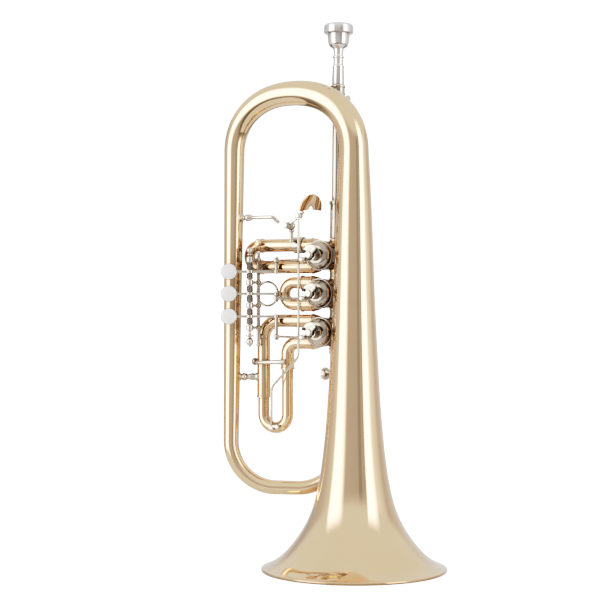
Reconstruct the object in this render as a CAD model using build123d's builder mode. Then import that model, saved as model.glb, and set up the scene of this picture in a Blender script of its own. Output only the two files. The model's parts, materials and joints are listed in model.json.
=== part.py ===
from build123d import *
import math
import os

# Rotary-valve flugelhorn in B flat, standing on its bell.
# Frame: origin at the centre of the bell mouth, +Z up the bell's axis,
# -X towards the left leg of the loop, -Y towards the valve fronts. Millimetres.

# ---- Driving dimensions -------------------------------------------------------------------
BELL_RIM_R = 80.0           # bell mouth radius, over the rim bead
BELL_TOP_Z = 360.0          # where the straight bell tail meets the top bow
BELL_TOP_R = 12.9
WALL = 0.7                  # sheet and tube wall
BEAD_R = 1.6                # rolled rim bead
WIRE_R = 0.95               # wire inside the bead

LEG_TOP_X = -118.9          # left leg, axis at its top and at its foot
LEG_FOOT_X = -122.2
LEG_TOP_R = 9.2
LEG_FOOT_R = 6.95
BOW_SPRING_Z = 362.0
TOP_BOW_RISE = 52.6
TOP_BOW_POWER = 2.2         # the top bow is a superellipse, a little squarer than a circle
BOTTOM_SPRING_Z = 107.0
BOTTOM_BEND_R = 41.0        # each corner of the bottom bow, with a short straight between

VALVE_X = -33.8             # rotor axes, parallel to Y
VALVE_Y = 14.4              # middle plane of the valves and of all the slides
VALVE_Z = [271.4, 238.1, 204.5]
CASING_R = 13.0
CASING_BORE_R = 11.0
CASING_HALF = 14.0          # half of the casing's length along Y
PORT_OFFSET = 9.6           # main line and slide tubes stand this far from the rotor axis
TUBE_R = 5.9                # outer radius of fixed tubes and slide sleeves
SLIDE_R = 5.15              # outer radius of the inner slide tubes
BORE_R = 4.6                # bore of the inner tubes
RUN_GAP = 0.05              # running clearance of slides and spindles

DOWN_X = -24.7              # down tube where it meets the bottom bow
DOWN_Y = 28.8

HINGE_X = -98.5             # lever hinge rod
HINGE_Y = -8.0
HINGE_R = 1.5
ROD_LOW_Z = 201.5
ROD_TOP_Z = 272.0
RAIL_X = -96.5
RAIL_Y = 4.0
POST_Z = [268.0, 248.0, 227.6, 208.0]
LEVER_Z = [257.5, 238.0, 218.0]
TOUCH_X = -114.2            # middle of the touchpieces
TOUCH_Y = -18.0
TOUCH_R = 7.2
DRIVE_ARM = 23.4            # hinge to link post
DRIVE_ANGLE = 31.0          # of the drive arm from +X, degrees
STOP_R = 5.9                # rotor axis to link stud
LINK_Y = -24.0              # link joint plane in front of the stop arm

TRIGGER_X = -61.0           # trigger pivot
TRIGGER_Y = -9.0
TRIGGER_Z = 297.5
TRIGGER_ROD_X = -48.0
TRIGGER_ROD_Z = 305.5

LYRE_Z = 167.0              # lyre holder on the down tube
LYRE_BORE_R = 2.6
LYRE_LENGTH = 14.0

MOUTH_TOP_Z = 474.7
RECEIVER_TOP_Z = 421.0

os.makedirs("parts", exist_ok=True)


def save(part, label):
    part.label = label
    export_step(part, f"parts/{label}.step")


def ring_profile(outer, inner):
    Circle(outer)
    Circle(inner, mode=Mode.SUBTRACT)


def section_plane(point, tangent, normal):
    return Plane(origin=point, x_dir=normal, z_dir=tangent)


def link_z(valve):
    return VALVE_Z[valve] - STOP_R / math.sqrt(2)


def drive_post():
    angle = math.radians(DRIVE_ANGLE)
    return (HINGE_X + DRIVE_ARM * math.cos(angle), HINGE_Y + DRIVE_ARM * math.sin(angle))


def shifted_inward(points, amount):
    """The same outline moved inward along its local normal, for the inside of a sheet."""
    moved = []
    for index, (r, z) in enumerate(points):
        before = points[max(index - 1, 0)]
        after = points[min(index + 1, len(points) - 1)]
        length = math.hypot(after[0] - before[0], after[1] - before[1])
        moved.append((r - amount * abs(after[1] - before[1]) / length,
                      z - amount * abs(after[0] - before[0]) / length))
    return moved


# ---- Bell and loop --------------------------------------------------------------------------
# Radius and height of the bell's outer surface, from the rim to the tail.
BEAD_Z = BEAD_R - 0.2       # the bead's underside is flattened by 0.2 mm
BELL_CURVE = [(BELL_RIM_R - BEAD_R, BEAD_Z + BEAD_R), (68.2, 8.2), (55.1, 20.3), (44.8, 34.5),
              (37.5, 49.0), (31.5, 70.0), (27.6, 94.0), (24.6, 122.0), (21.2, 172.0),
              (17.9, 240.0), (15.7, 302.0), (BELL_TOP_R, BELL_TOP_Z)]
inner_curve = shifted_inward(BELL_CURVE, WALL)
inner_curve[0] = (BELL_CURVE[0][0], BELL_CURVE[0][1] - WALL)
inner_curve[-1] = (BELL_TOP_R - WALL, BELL_TOP_Z)
bead_centre = (BELL_RIM_R - BEAD_R, BEAD_Z)

with BuildPart() as bell:
    with BuildSketch(Plane.XZ):
        with BuildLine():
            Spline(*BELL_CURVE)
            Line(BELL_CURVE[-1], inner_curve[-1])
            Spline(*reversed(inner_curve))
            Line(inner_curve[0], BELL_CURVE[0])
        make_face()
        with Locations(bead_centre):
            Circle(BEAD_R)
            Circle(WIRE_R + 0.02, mode=Mode.SUBTRACT)
        with Locations((BELL_RIM_R, -BEAD_R)):
            Rectangle(8 * BEAD_R, 2 * BEAD_R, mode=Mode.SUBTRACT)
    revolve(axis=Axis.Z)

# The bell is spun in three parts that are brazed end to end.
FLARE_TOP_Z = 34.5
THROAT_TOP_Z = 172.0
for label, low, high in (("bell_flare", 0.0, FLARE_TOP_Z),
                         ("bell_throat", FLARE_TOP_Z, THROAT_TOP_Z),
                         ("bell_tail", THROAT_TOP_Z, BELL_TOP_Z)):
    with BuildPart() as bell_section:
        add(bell.part)
        with BuildSketch(Plane.XY.offset(low)):
            Circle(BELL_RIM_R + 1)
        extrude(amount=high - low, mode=Mode.INTERSECT)
    save(bell_section.part, label)

with BuildPart() as rim_wire:
    with BuildSketch(Plane.XZ):
        with Locations(bead_centre):
            Circle(WIRE_R)
    revolve(axis=Axis.Z)
save(rim_wire.part, "bell_rim_wire")


def bow_station(share):
    """Centre, direction and tube radius at a share of the way round the top bow."""
    turn = math.pi * share
    half = -LEG_TOP_X / 2
    across = math.copysign(abs(math.cos(turn)) ** (2 / TOP_BOW_POWER), math.cos(turn))
    rise = abs(math.sin(turn)) ** (2 / TOP_BOW_POWER)
    x = -half + half * across
    z = BELL_TOP_Z + (BOW_SPRING_Z - BELL_TOP_Z) * share + TOP_BOW_RISE * rise
    bend = TOP_BOW_POWER - 1
    tangent = Vector(-half * rise ** bend, 0,
                     TOP_BOW_RISE * math.copysign(abs(across) ** bend, across))
    radius = BELL_TOP_R + (LEG_TOP_R - BELL_TOP_R) * share
    return Vector(x, 0, z), tangent, radius


BOW_STATIONS = 13
with BuildPart() as top_bow:
    for inset, how in ((0.0, Mode.ADD), (WALL, Mode.SUBTRACT)):
        for index in range(BOW_STATIONS):
            centre, tangent, radius = bow_station(index / (BOW_STATIONS - 1))
            with BuildSketch(section_plane(centre, tangent, (0, 1, 0))):
                Circle(radius - inset)
        loft(mode=how)
save(top_bow.part, "top_bow")


def straight_cone(start, end, start_r, end_r):
    """A straight tapered tube with the usual wall."""
    direction = Vector(*end) - Vector(*start)
    base = Plane(origin=start, z_dir=direction)
    with BuildPart() as tube:
        for inset, how in ((0.0, Mode.ADD), (WALL, Mode.SUBTRACT)):
            with BuildSketch(base):
                Circle(start_r - inset)
            with BuildSketch(base.offset(direction.length)):
                Circle(end_r - inset)
            loft(mode=how)
    return tube.part


LEG_TOP = (LEG_TOP_X, 0, BOW_SPRING_Z)
LEG_FOOT = (LEG_FOOT_X, 0, BOTTOM_SPRING_Z)
save(straight_cone(LEG_TOP, LEG_FOOT, LEG_TOP_R, LEG_FOOT_R), "left_leg")

bow_direction = Vector(DOWN_X - LEG_FOOT_X, DOWN_Y, 0).normalized()
bow_plane = Plane(origin=((LEG_FOOT_X + DOWN_X) / 2, DOWN_Y / 2, BOTTOM_SPRING_Z),
                  x_dir=bow_direction, z_dir=bow_direction.cross(Vector(0, 0, 1)))
bottom_flat = math.hypot(DOWN_X - LEG_FOOT_X, DOWN_Y) - 2 * BOTTOM_BEND_R
CORNER_STATIONS = 6
bottom_stations = []        # (centre, tangent), down one corner and up the other
for side in (-1, 1):
    for index in range(CORNER_STATIONS):
        turn = math.pi / 2 * index / (CORNER_STATIONS - 1)
        turn = turn if side < 0 else math.pi / 2 - turn
        out = side * (bottom_flat / 2 + BOTTOM_BEND_R * math.cos(turn))
        centre = bow_plane.origin + bow_direction * out
        centre = centre - Vector(0, 0, BOTTOM_BEND_R * math.sin(turn))
        tangent = bow_direction * math.sin(turn) + Vector(0, 0, side * math.cos(turn))
        bottom_stations.append((centre, tangent))
with BuildPart() as bottom_bow:
    for inset, how in ((0.0, Mode.ADD), (WALL, Mode.SUBTRACT)):
        for index, (centre, tangent) in enumerate(bottom_stations):
            share = index / (len(bottom_stations) - 1)
            with BuildSketch(section_plane(centre, tangent, bow_plane.z_dir)):
                Circle(LEG_FOOT_R + (TUBE_R - LEG_FOOT_R) * share - inset)
        loft(mode=how)
save(bottom_bow.part, "bottom_bow")

# The down tube leaves valve 3, swings back behind the bell and meets the bottom bow.
MAIN_X = VALVE_X + PORT_OFFSET
KNUCKLE_REACH = 14.5        # from the rotor axis to a knuckle's outer end
DOWN_BEND = 44.0            # bend radius of the S in the down tube
DOWN_LOW_Z = 128.5          # where the S straightens again
down_top_z = VALVE_Z[2] - KNUCKLE_REACH
down_path = [(MAIN_X, VALVE_Y, down_top_z), (MAIN_X, VALVE_Y, down_top_z - 11),
             (DOWN_X, DOWN_Y, DOWN_LOW_Z), (DOWN_X, DOWN_Y, BOTTOM_SPRING_Z)]
with BuildPart() as down_tube:
    with BuildLine():
        FilletPolyline(*down_path, radius=DOWN_BEND)
    with BuildSketch(Plane(origin=down_path[0], z_dir=(0, 0, -1))):
        ring_profile(TUBE_R, TUBE_R - WALL)
    sweep()
save(down_tube.part, "down_tube")

FERRULE_R = TUBE_R + 0.8
with BuildPart() as tube_ferrules:
    for x, y, z, length in ((DOWN_X, DOWN_Y, BOTTOM_SPRING_Z, 5.6),
                            (MAIN_X, VALVE_Y, down_top_z - 4.0, 4.6)):
        with BuildSketch(Plane(origin=(x, y, z), z_dir=(0, 0, 1))):
            ring_profile(FERRULE_R, TUBE_R + 0.02)
        extrude(amount=length)
save(tube_ferrules.part, "tube_ferrules")


# ---- Leadpipe and mouthpiece ------------------------------------------------------------------
# The leadpipe slants so that it passes behind the top bow. It slides in a fixed sleeve to tune.
PIPE_FOOT = Vector(MAIN_X, VALVE_Y, VALVE_Z[0] + KNUCKLE_REACH)
PIPE_TOP = Vector(-25.5, 20.2, RECEIVER_TOP_Z)
pipe_direction = (PIPE_TOP - PIPE_FOOT).normalized()
pipe_plane = Plane(origin=PIPE_FOOT, x_dir=(1, 0, 0), z_dir=pipe_direction)
PIPE_LENGTH = (PIPE_TOP - PIPE_FOOT).length
PIPE_R = 4.7
SLEEVE_LENGTH = 33.0
RECEIVER_LENGTH = 13.0
SHANK_DEPTH = 18.0


def revolve_about(plane, outline):
    """A closed outline of (radius, height) points turned about the plane's normal."""
    with BuildPart() as turned:
        with BuildSketch(Plane(origin=plane.origin, x_dir=plane.x_dir,
                               z_dir=plane.x_dir.cross(plane.z_dir))):
            with BuildLine():
                Polyline(*outline, close=True)
            make_face()
        revolve(axis=Axis(plane.origin, plane.z_dir))
    return turned.part


save(revolve_about(pipe_plane, [
    (PIPE_R + RUN_GAP, 0.45), (TUBE_R, 0.45), (TUBE_R, SLEEVE_LENGTH - 3),
    (TUBE_R + 0.9, SLEEVE_LENGTH - 3), (TUBE_R + 0.9, SLEEVE_LENGTH),
    (PIPE_R + RUN_GAP, SLEEVE_LENGTH)]), "leadpipe_sleeve")
save(revolve_about(pipe_plane, [
    (PIPE_R - WALL, 2), (PIPE_R, 2), (PIPE_R, PIPE_LENGTH - 4),
    (PIPE_R - WALL, PIPE_LENGTH - 4)]), "leadpipe")
save(revolve_about(pipe_plane, [
    (PIPE_R + 0.02, PIPE_LENGTH - RECEIVER_LENGTH), (5.6, PIPE_LENGTH - RECEIVER_LENGTH),
    (5.9, PIPE_LENGTH - 9), (6.6, PIPE_LENGTH - 8), (6.6, PIPE_LENGTH - 2),
    (6.1, PIPE_LENGTH - 1), (6.1, PIPE_LENGTH), (5.0, PIPE_LENGTH),
    (4.75, PIPE_LENGTH - 4), (PIPE_R + 0.02, PIPE_LENGTH - 4)]), "mouthpiece_receiver")

mouth_height = (MOUTH_TOP_Z - RECEIVER_TOP_Z) / pipe_direction.Z
mouth_plane = Plane(origin=PIPE_TOP, x_dir=(1, 0, 0), z_dir=pipe_direction)
with BuildPart() as mouthpiece:
    with BuildSketch(Plane(origin=PIPE_TOP, x_dir=(1, 0, 0), z_dir=mouth_plane.x_dir.cross(
            mouth_plane.z_dir))):
        with BuildLine():
            Polyline((2.1, -SHANK_DEPTH), (3.9, -SHANK_DEPTH), (3.94, -3.6), (4.7, -3.6),
                     (4.95, 0), (5.4, 0.4), (5.4, 7), (5.1, 15), (5.3, 15.6), (5.3, 16.8),
                     (4.5, 17.6), (4.4, 22), (4.5, 23.4), (5.1, 24.0), (5.1, 25.2),
                     (4.4, 25.9), (4.3, 29), (4.8, 32.0))
            Spline((4.8, 32.0), (7.4, 33.6), (9.2, 37.5), (9.8, 45.0),
                   tangents=[(0.6, 0.8), (0, 1)])
            Polyline((9.8, 45.0), (12.7, 45.3), (13.1, 46.4), (13.0, 51.2))
            Spline((13.0, 51.2), (11.2, mouth_height), (8.9, mouth_height - 1.5),
                   tangents=[(0, 1), (-0.7, -0.7)])
            Spline((8.9, mouth_height - 1.5), (7.6, 45), (4.2, 36), (1.9, 32),
                   tangents=[(-0.1, -1), (-0.2, -1)])
            Polyline((1.9, 32), (1.9, 24), (2.1, -SHANK_DEPTH))
        make_face()
    revolve(axis=Axis(PIPE_TOP, pipe_direction))
save(mouthpiece.part, "mouthpiece")

# The guide brace stands on the top bow and holds a ring in which the leadpipe slides.
# A short clamp screw points away from the loop.
guide_share = 0.30
guide_centre, guide_tangent, guide_r = bow_station(guide_share)
guide_height = (guide_centre.Z - PIPE_FOOT.Z) / pipe_direction.Z
ring_centre = PIPE_FOOT + pipe_direction * guide_height
with BuildPart() as receiver_brace:
    with BuildSketch(Plane(origin=ring_centre - pipe_direction * 3, x_dir=(1, 0, 0),
                           z_dir=pipe_direction)):
        Circle(6.0)
    extrude(amount=6)
    brace_start = guide_centre
    brace_run = ring_centre - brace_start
    with BuildSketch(Plane(origin=brace_start, z_dir=brace_run)):
        Circle(2.0)
    extrude(amount=brace_run.length - 5)
    clamp_run = Vector(12.5, -3.0, 5.0)
    with BuildSketch(Plane(origin=ring_centre, z_dir=clamp_run)):
        Circle(1.5)
    extrude(amount=clamp_run.length)
    with BuildSketch(Plane(origin=ring_centre + clamp_run, z_dir=clamp_run)):
        Circle(2.6)
    extrude(amount=-1.8)
    with BuildSketch(Plane(origin=ring_centre - pipe_direction * 4, x_dir=(1, 0, 0),
                           z_dir=pipe_direction)):
        Circle(PIPE_R + RUN_GAP)
    extrude(amount=8, mode=Mode.SUBTRACT)
    with BuildSketch(section_plane(guide_centre - guide_tangent.normalized() * 8,
                                   guide_tangent, (0, 1, 0))):
        Circle(guide_r + 0.15)
    extrude(amount=16, mode=Mode.SUBTRACT)
save(receiver_brace.part, "receiver_brace")


# ---- Rotary valves ------------------------------------------------------------------------------
def valve_plane(valve, depth=0.0):
    """Plane across a rotor axis; its normal looks out of the valve's front, towards -Y."""
    return Plane(origin=(VALVE_X, VALVE_Y - depth, VALVE_Z[valve]), x_dir=(1, 0, 0),
                 z_dir=(0, -1, 0))


def turned_valve_part(valve, outline):
    """Revolve (radius, distance in front of the middle plane) points about the rotor axis."""
    return revolve_about(valve_plane(valve), outline)


ELBOW_R = 6.4               # bend of a knuckle from the casing into its tube
elbow_start = PORT_OFFSET - ELBOW_R * (1 - math.cos(math.radians(45)))


def knuckle_path_points(side, up, sideways):
    """Elbow from the casing wall at 45 degrees into a vertical or horizontal tube."""
    start = Vector(side * elbow_start, up * elbow_start, 0)
    outward = Vector(side, up, 0).normalized()
    reach = elbow_start + ELBOW_R * math.sin(math.radians(45))
    if sideways:
        bend_end = Vector(side * reach, up * PORT_OFFSET, 0)
        tail = Vector(side * KNUCKLE_REACH, up * PORT_OFFSET, 0)
    else:
        bend_end = Vector(side * PORT_OFFSET, up * reach, 0)
        tail = Vector(side * PORT_OFFSET, up * KNUCKLE_REACH, 0)
    return start, outward, bend_end, tail


def knuckle(valve, side, up, sideways, radius):
    plane = valve_plane(valve)
    start, outward, bend_end, tail = knuckle_path_points(side, up, sideways)
    inner_start = plane.from_local_coords(start - outward * 4)
    world_outward = plane.from_local_coords(start + outward) - plane.from_local_coords(start)
    with BuildPart() as elbow:
        with BuildLine():
            Line(inner_start, plane.from_local_coords(start))
            TangentArc(plane.from_local_coords(start), plane.from_local_coords(bend_end),
                       tangent=world_outward)
            Line(plane.from_local_coords(bend_end), plane.from_local_coords(tail))
        with BuildSketch(Plane(origin=inner_start, z_dir=world_outward)):
            Circle(radius)
        sweep()
    return elbow.part


PORTS = [(1, 1, False), (1, -1, False), (-1, 1, True), (-1, -1, True)]
SPINDLE_R = 2.0
PLATE_THICK = 2.0
STOP_PLATE_Y = VALVE_Y + 18.0     # distance of the stop arm in front of the middle plane


def build_valve(valve):
    number = valve + 1
    middle = valve_plane(valve)
    with BuildPart() as casing:
        with BuildSketch(valve_plane(valve, -CASING_HALF)):
            ring_profile(CASING_R, CASING_BORE_R)
        extrude(amount=2 * CASING_HALF)
        for side, up, sideways in PORTS:
            add(knuckle(valve, side, up, sideways, BORE_R), mode=Mode.SUBTRACT)
    save(casing.part, f"valve_{number}_casing")

    with BuildPart() as knuckles:
        for side, up, sideways in PORTS:
            add(knuckle(valve, side, up, sideways, TUBE_R))
        for side, up, sideways in PORTS:
            add(knuckle(valve, side, up, sideways, BORE_R), mode=Mode.SUBTRACT)
        with BuildSketch(valve_plane(valve, -CASING_HALF - 2)):
            Circle(CASING_R + 0.02)
        extrude(amount=2 * CASING_HALF + 4, mode=Mode.SUBTRACT)
    save(knuckles.part, f"valve_{number}_knuckles")

    rotor_r = CASING_BORE_R - RUN_GAP
    body = turned_valve_part(valve, [
        (0, -13.5), (SPINDLE_R, -13.5), (SPINDLE_R, -9.8), (rotor_r, -9.8), (rotor_r, 9.8),
        (SPINDLE_R, 9.8), (SPINDLE_R, STOP_PLATE_Y + 1), (0, STOP_PLATE_Y + 1)])
    with BuildPart() as rotor:
        add(body)
        # Each channel is part of a ring that joins two neighbouring ports.
        channel_ring = rotor_r * math.sqrt(2) * 0.72
        for side in (1, -1):
            with BuildSketch(Plane(origin=(VALVE_X, VALVE_Y, VALVE_Z[valve]),
                                   x_dir=(1, 0, 0), z_dir=(0, 0, 1))):
                with Locations((side * (rotor_r * math.sqrt(2) - channel_ring), 0)):
                    Circle(BORE_R - 0.4)
            revolve(axis=Axis((VALVE_X + side * rotor_r * math.sqrt(2), VALVE_Y,
                               VALVE_Z[valve]), (0, 1, 0)), mode=Mode.SUBTRACT)
    save(rotor.part, f"valve_{number}_rotor")

    bore = SPINDLE_R + RUN_GAP
    front = VALVE_Y              # distance from the middle plane to Y = 0
    with BuildPart() as front_cap:
        with BuildSketch(Plane(origin=middle.origin, x_dir=(1, 0, 0), z_dir=(0, 0, 1))):
            with BuildLine():
                Polyline((bore, -10.1), (10.95, -10.1), (10.95, -CASING_HALF - 0.02),
                         (13.3, -CASING_HALF - 0.02), (13.5, -front), (13.3, -front - 0.9),
                         (12.3, -front - 1.1))
                Spline((12.3, -front - 1.1), (10.4, -front - 4.6), (5.2, -front - 6.6),
                       tangents=[(-0.1, -1), (-1, -0.05)])
                Polyline((5.2, -front - 6.6), (4.6, -front - 7.4), (4.2, -front - 12),
                         (4.2, -front - 14), (4.9, -front - 14.6), (4.9, -front - 16.6),
                         (bore, -front - 16.6), (bore, -10.1))
            make_face()
        revolve(axis=Axis(middle.origin, (0, 1, 0)))
        # Crescent that carries the two stop bumpers above the neck.
        with BuildSketch(valve_plane(valve, front + 14.6)):
            with BuildLine():
                CenterArc((0, 0), 8.8, 10, 160)
                Line((8.8 * math.cos(math.radians(170)), 8.8 * math.sin(math.radians(170))),
                     (4.2 * math.cos(math.radians(170)), 4.2 * math.sin(math.radians(170))))
                CenterArc((0, 0), 4.2, 170, -160)
                Line((4.2 * math.cos(math.radians(10)), 4.2 * math.sin(math.radians(10))),
                     (8.8 * math.cos(math.radians(10)), 8.8 * math.sin(math.radians(10))))
            make_face()
        extrude(amount=1.2)
    front_caps.append(front_cap.part)

    with BuildPart() as stop_arm:
        stud_x = -STOP_R / math.sqrt(2)
        with BuildSketch(valve_plane(valve, STOP_PLATE_Y)):
            Circle(3.3)
            with Locations((stud_x, stud_x)):
                Circle(2.1)
            with Locations(Rotation(0, 0, 45) * Pos(-STOP_R / 2, 0)):
                Rectangle(STOP_R, 3.6)
            with Locations(Rotation(0, 0, 45) * Pos(3.7, 0)):
                Rectangle(7.4, 2.2)
            with Locations(Rotation(0, 0, 45) * Pos(7.4, 0)):
                Circle(1.1)
        extrude(amount=PLATE_THICK)
        with BuildSketch(valve_plane(valve, STOP_PLATE_Y)):
            Circle(SPINDLE_R + 0.01)
        extrude(amount=1.02, mode=Mode.SUBTRACT)
        with BuildSketch(valve_plane(valve, STOP_PLATE_Y + PLATE_THICK)):
            Circle(2.9)
        extrude(amount=1.9)
        with BuildSketch(valve_plane(valve, STOP_PLATE_Y + PLATE_THICK + 1.9)):
            Rectangle(8, 0.8)
        extrude(amount=-0.9, mode=Mode.SUBTRACT)
        with BuildSketch(valve_plane(valve, STOP_PLATE_Y + PLATE_THICK)):
            with Locations((stud_x, stud_x)):
                Circle(1.2)
        extrude(amount=1.7)
        # Lug that runs between the two bumpers.
        lug = 7.4 / math.sqrt(2)
        with BuildSketch(valve_plane(valve, STOP_PLATE_Y)):
            with Locations((lug, lug)):
                Circle(1.0)
        extrude(amount=-1.8)
    save(stop_arm.part, f"valve_{number}_stop_arm")


front_caps = []
for valve in range(3):
    build_valve(valve)
save(Compound(children=front_caps), "front_caps")

with BuildPart() as stop_bumpers:
    for valve in range(3):
        with BuildSketch(valve_plane(valve, VALVE_Y + 15.8)):
            for angle in (24, 156):
                with Locations((7.4 * math.cos(math.radians(angle)),
                                7.4 * math.sin(math.radians(angle)))):
                    Circle(1.4)
        extrude(amount=1.8)
save(stop_bumpers.part, "stop_bumpers")

with BuildPart() as rear_caps:
    for valve in range(3):
        add(turned_valve_part(valve, [
            (0, -15.9), (SPINDLE_R + RUN_GAP, -13.8), (SPINDLE_R + RUN_GAP, -10.1),
            (10.95, -10.1), (10.95, -CASING_HALF - 0.02), (13.3, -CASING_HALF - 0.02),
            (13.5, -14.8), (13.2, -15.6), (11.6, -16.4), (6, -18.2), (0, -18.6)]))
save(rear_caps.part, "rear_caps")

with BuildPart() as main_line_tubes:
    for upper, lower in ((0, 1), (1, 2)):
        low = VALVE_Z[lower] + KNUCKLE_REACH
        with BuildSketch(Plane(origin=(MAIN_X, VALVE_Y, low), z_dir=(0, 0, 1))):
            ring_profile(TUBE_R, BORE_R)
        extrude(amount=VALVE_Z[upper] - KNUCKLE_REACH - low)
save(main_line_tubes.part, "main_line_tubes")


# ---- Slides ------------------------------------------------------------------------------------
PORT_X = VALVE_X - KNUCKLE_REACH      # outer end of the slide knuckles


def slide_plane(x, z):
    """Plane across a horizontal slide tube, looking towards -X."""
    return Plane(origin=(x, VALVE_Y, z), x_dir=(0, 1, 0), z_dir=(-1, 0, 0))


def horizontal_sleeves(valve, end_x, collar):
    with BuildPart() as sleeves:
        for up in (1, -1):
            z = VALVE_Z[valve] + up * PORT_OFFSET
            with BuildSketch(slide_plane(PORT_X, z)):
                ring_profile(TUBE_R, SLIDE_R + RUN_GAP)
            extrude(amount=PORT_X - end_x)
            with BuildSketch(slide_plane(end_x + collar, z)):
                ring_profile(TUBE_R + 0.7, SLIDE_R + RUN_GAP)
            extrude(amount=collar)
    return sleeves.part


def horizontal_bow(valve, inside_x, spring_x, bend_r):
    """Inner slide: two legs inside the sleeves and a half-round bow."""
    z = VALVE_Z[valve]
    crown = spring_x - PORT_OFFSET
    with BuildPart() as bow:
        with BuildLine():
            Line((inside_x, VALVE_Y, z + PORT_OFFSET), (spring_x, VALVE_Y, z + PORT_OFFSET))
            ThreePointArc((spring_x, VALVE_Y, z + PORT_OFFSET), (crown, VALVE_Y, z),
                          (spring_x, VALVE_Y, z - PORT_OFFSET))
            Line((spring_x, VALVE_Y, z - PORT_OFFSET), (inside_x, VALVE_Y, z - PORT_OFFSET))
        with BuildSketch(slide_plane(inside_x, z + PORT_OFFSET)):
            ring_profile(bend_r, BORE_R)
        sweep()
    return bow.part


def slotted_nut(plane):
    """Small round nut with a neck and a screwdriver slot, standing on the plane."""
    nut = revolve_about(plane, [(0, 0), (1.7, 0), (1.7, 1.2), (3.1, 1.8), (3.5, 3.0),
                                (3.5, 4.2), (2.9, 5.2), (0, 5.4)])
    with BuildPart() as slotted:
        add(nut)
        with BuildSketch(plane.offset(5.4)):
            Rectangle(10, 0.9, rotation=40)
        extrude(amount=-1.2, mode=Mode.SUBTRACT)
    return slotted.part


SLIDE_1_END_X = -99.4
SLIDE_1_SPRING_X = -101.6
SLIDE_2_END_X = -58.0
SLIDE_2_SPRING_X = -66.0

# A slotted clamp nut stands on the front of the first slide's upper sleeve, at its end.
NUT_TILT = math.radians(14)
nut_out = Vector(0, -math.cos(NUT_TILT), math.sin(NUT_TILT))
nut_foot = Vector(SLIDE_1_END_X + 1.9, VALVE_Y, VALVE_Z[0] + PORT_OFFSET) + nut_out * (TUBE_R + 0.4)
with BuildPart() as slide_1_sleeves:
    add(horizontal_sleeves(0, SLIDE_1_END_X, 2.4))
    add(slotted_nut(Plane(origin=nut_foot, x_dir=(1, 0, 0), z_dir=nut_out)))
save(slide_1_sleeves.part, "slide_1_sleeves")
save(horizontal_sleeves(1, SLIDE_2_END_X, 0.01), "slide_2_sleeves")

save(horizontal_bow(0, -58.0, SLIDE_1_SPRING_X, SLIDE_R), "slide_1_bow")
save(horizontal_bow(1, -50.0, SLIDE_2_SPRING_X, SLIDE_R), "slide_2_bow")

RING_R = 10.6
RING_WIRE_R = 1.1
ring_x = SLIDE_2_SPRING_X - PORT_OFFSET - SLIDE_R - RING_R - RING_WIRE_R - 0.6
with BuildPart() as slide_2_ring:
    with BuildSketch(Plane(origin=(ring_x, VALVE_Y, VALVE_Z[1]), x_dir=(1, 0, 0),
                           z_dir=(0, 0, 1))):
        with Locations((RING_R, 0)):
            Circle(RING_WIRE_R)
    revolve(axis=Axis((ring_x, VALVE_Y, VALVE_Z[1]), (0, 1, 0)))
    with BuildSketch(slide_plane(ring_x + RING_R + 2.6, VALVE_Z[1])):
        Circle(2.0)
    extrude(amount=2.4)
    with BuildLine():
        ThreePointArc((SLIDE_2_SPRING_X, VALVE_Y, VALVE_Z[1] + PORT_OFFSET),
                      (SLIDE_2_SPRING_X - PORT_OFFSET, VALVE_Y, VALVE_Z[1]),
                      (SLIDE_2_SPRING_X, VALVE_Y, VALVE_Z[1] - PORT_OFFSET))
    with BuildSketch(slide_plane(SLIDE_2_SPRING_X, VALVE_Z[1] + PORT_OFFSET)):
        Circle(SLIDE_R)
    sweep(mode=Mode.SUBTRACT)
save(slide_2_ring.part, "slide_2_ring")

# Third slide: two fixed branches turn down, two sleeves carry a sprung U-bow.
S3_LEFT_X = -96.9
S3_RIGHT_X = -72.6
S3_BEND_LEFT = 16.0
S3_BEND_RIGHT = 10.0
S3_LEFT_TOP = 178.0         # top and bottom of the left sleeve
S3_LEFT_END = 145.5
S3_RIGHT_TOP = 181.0        # top and bottom of the right sleeve
S3_RIGHT_END = 171.0
S3_SPRING_Z = 131.0
S3_BOW_R = (S3_RIGHT_X - S3_LEFT_X) / 2


def branch(leg_x, port_z, bend, end_z):
    with BuildPart() as tube:
        with BuildLine():
            FilletPolyline((PORT_X, VALVE_Y, port_z), (leg_x, VALVE_Y, port_z),
                           (leg_x, VALVE_Y, end_z), radius=bend)
        with BuildSketch(slide_plane(PORT_X, port_z)):
            ring_profile(TUBE_R - 0.1, BORE_R)
        sweep()
    return tube.part


with BuildPart() as slide_3_branches:
    add(branch(S3_LEFT_X, VALVE_Z[2] + PORT_OFFSET, S3_BEND_LEFT, S3_LEFT_TOP))
    add(branch(S3_RIGHT_X, VALVE_Z[2] - PORT_OFFSET, S3_BEND_RIGHT, S3_RIGHT_TOP))
save(slide_3_branches.part, "slide_3_branches")

with BuildPart() as slide_3_sleeves:
    for x, top, end in ((S3_LEFT_X, S3_LEFT_TOP, S3_LEFT_END),
                        (S3_RIGHT_X, S3_RIGHT_TOP, S3_RIGHT_END)):
        with BuildSketch(Plane(origin=(x, VALVE_Y, end), z_dir=(0, 0, 1))):
            ring_profile(TUBE_R + 0.1, SLIDE_R + RUN_GAP)
        extrude(amount=top - end)
        with BuildSketch(Plane(origin=(x, VALVE_Y, end), z_dir=(0, 0, 1))):
            ring_profile(TUBE_R + 0.6, SLIDE_R + RUN_GAP)
        extrude(amount=2.0)
save(slide_3_sleeves.part, "slide_3_sleeves")

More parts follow.
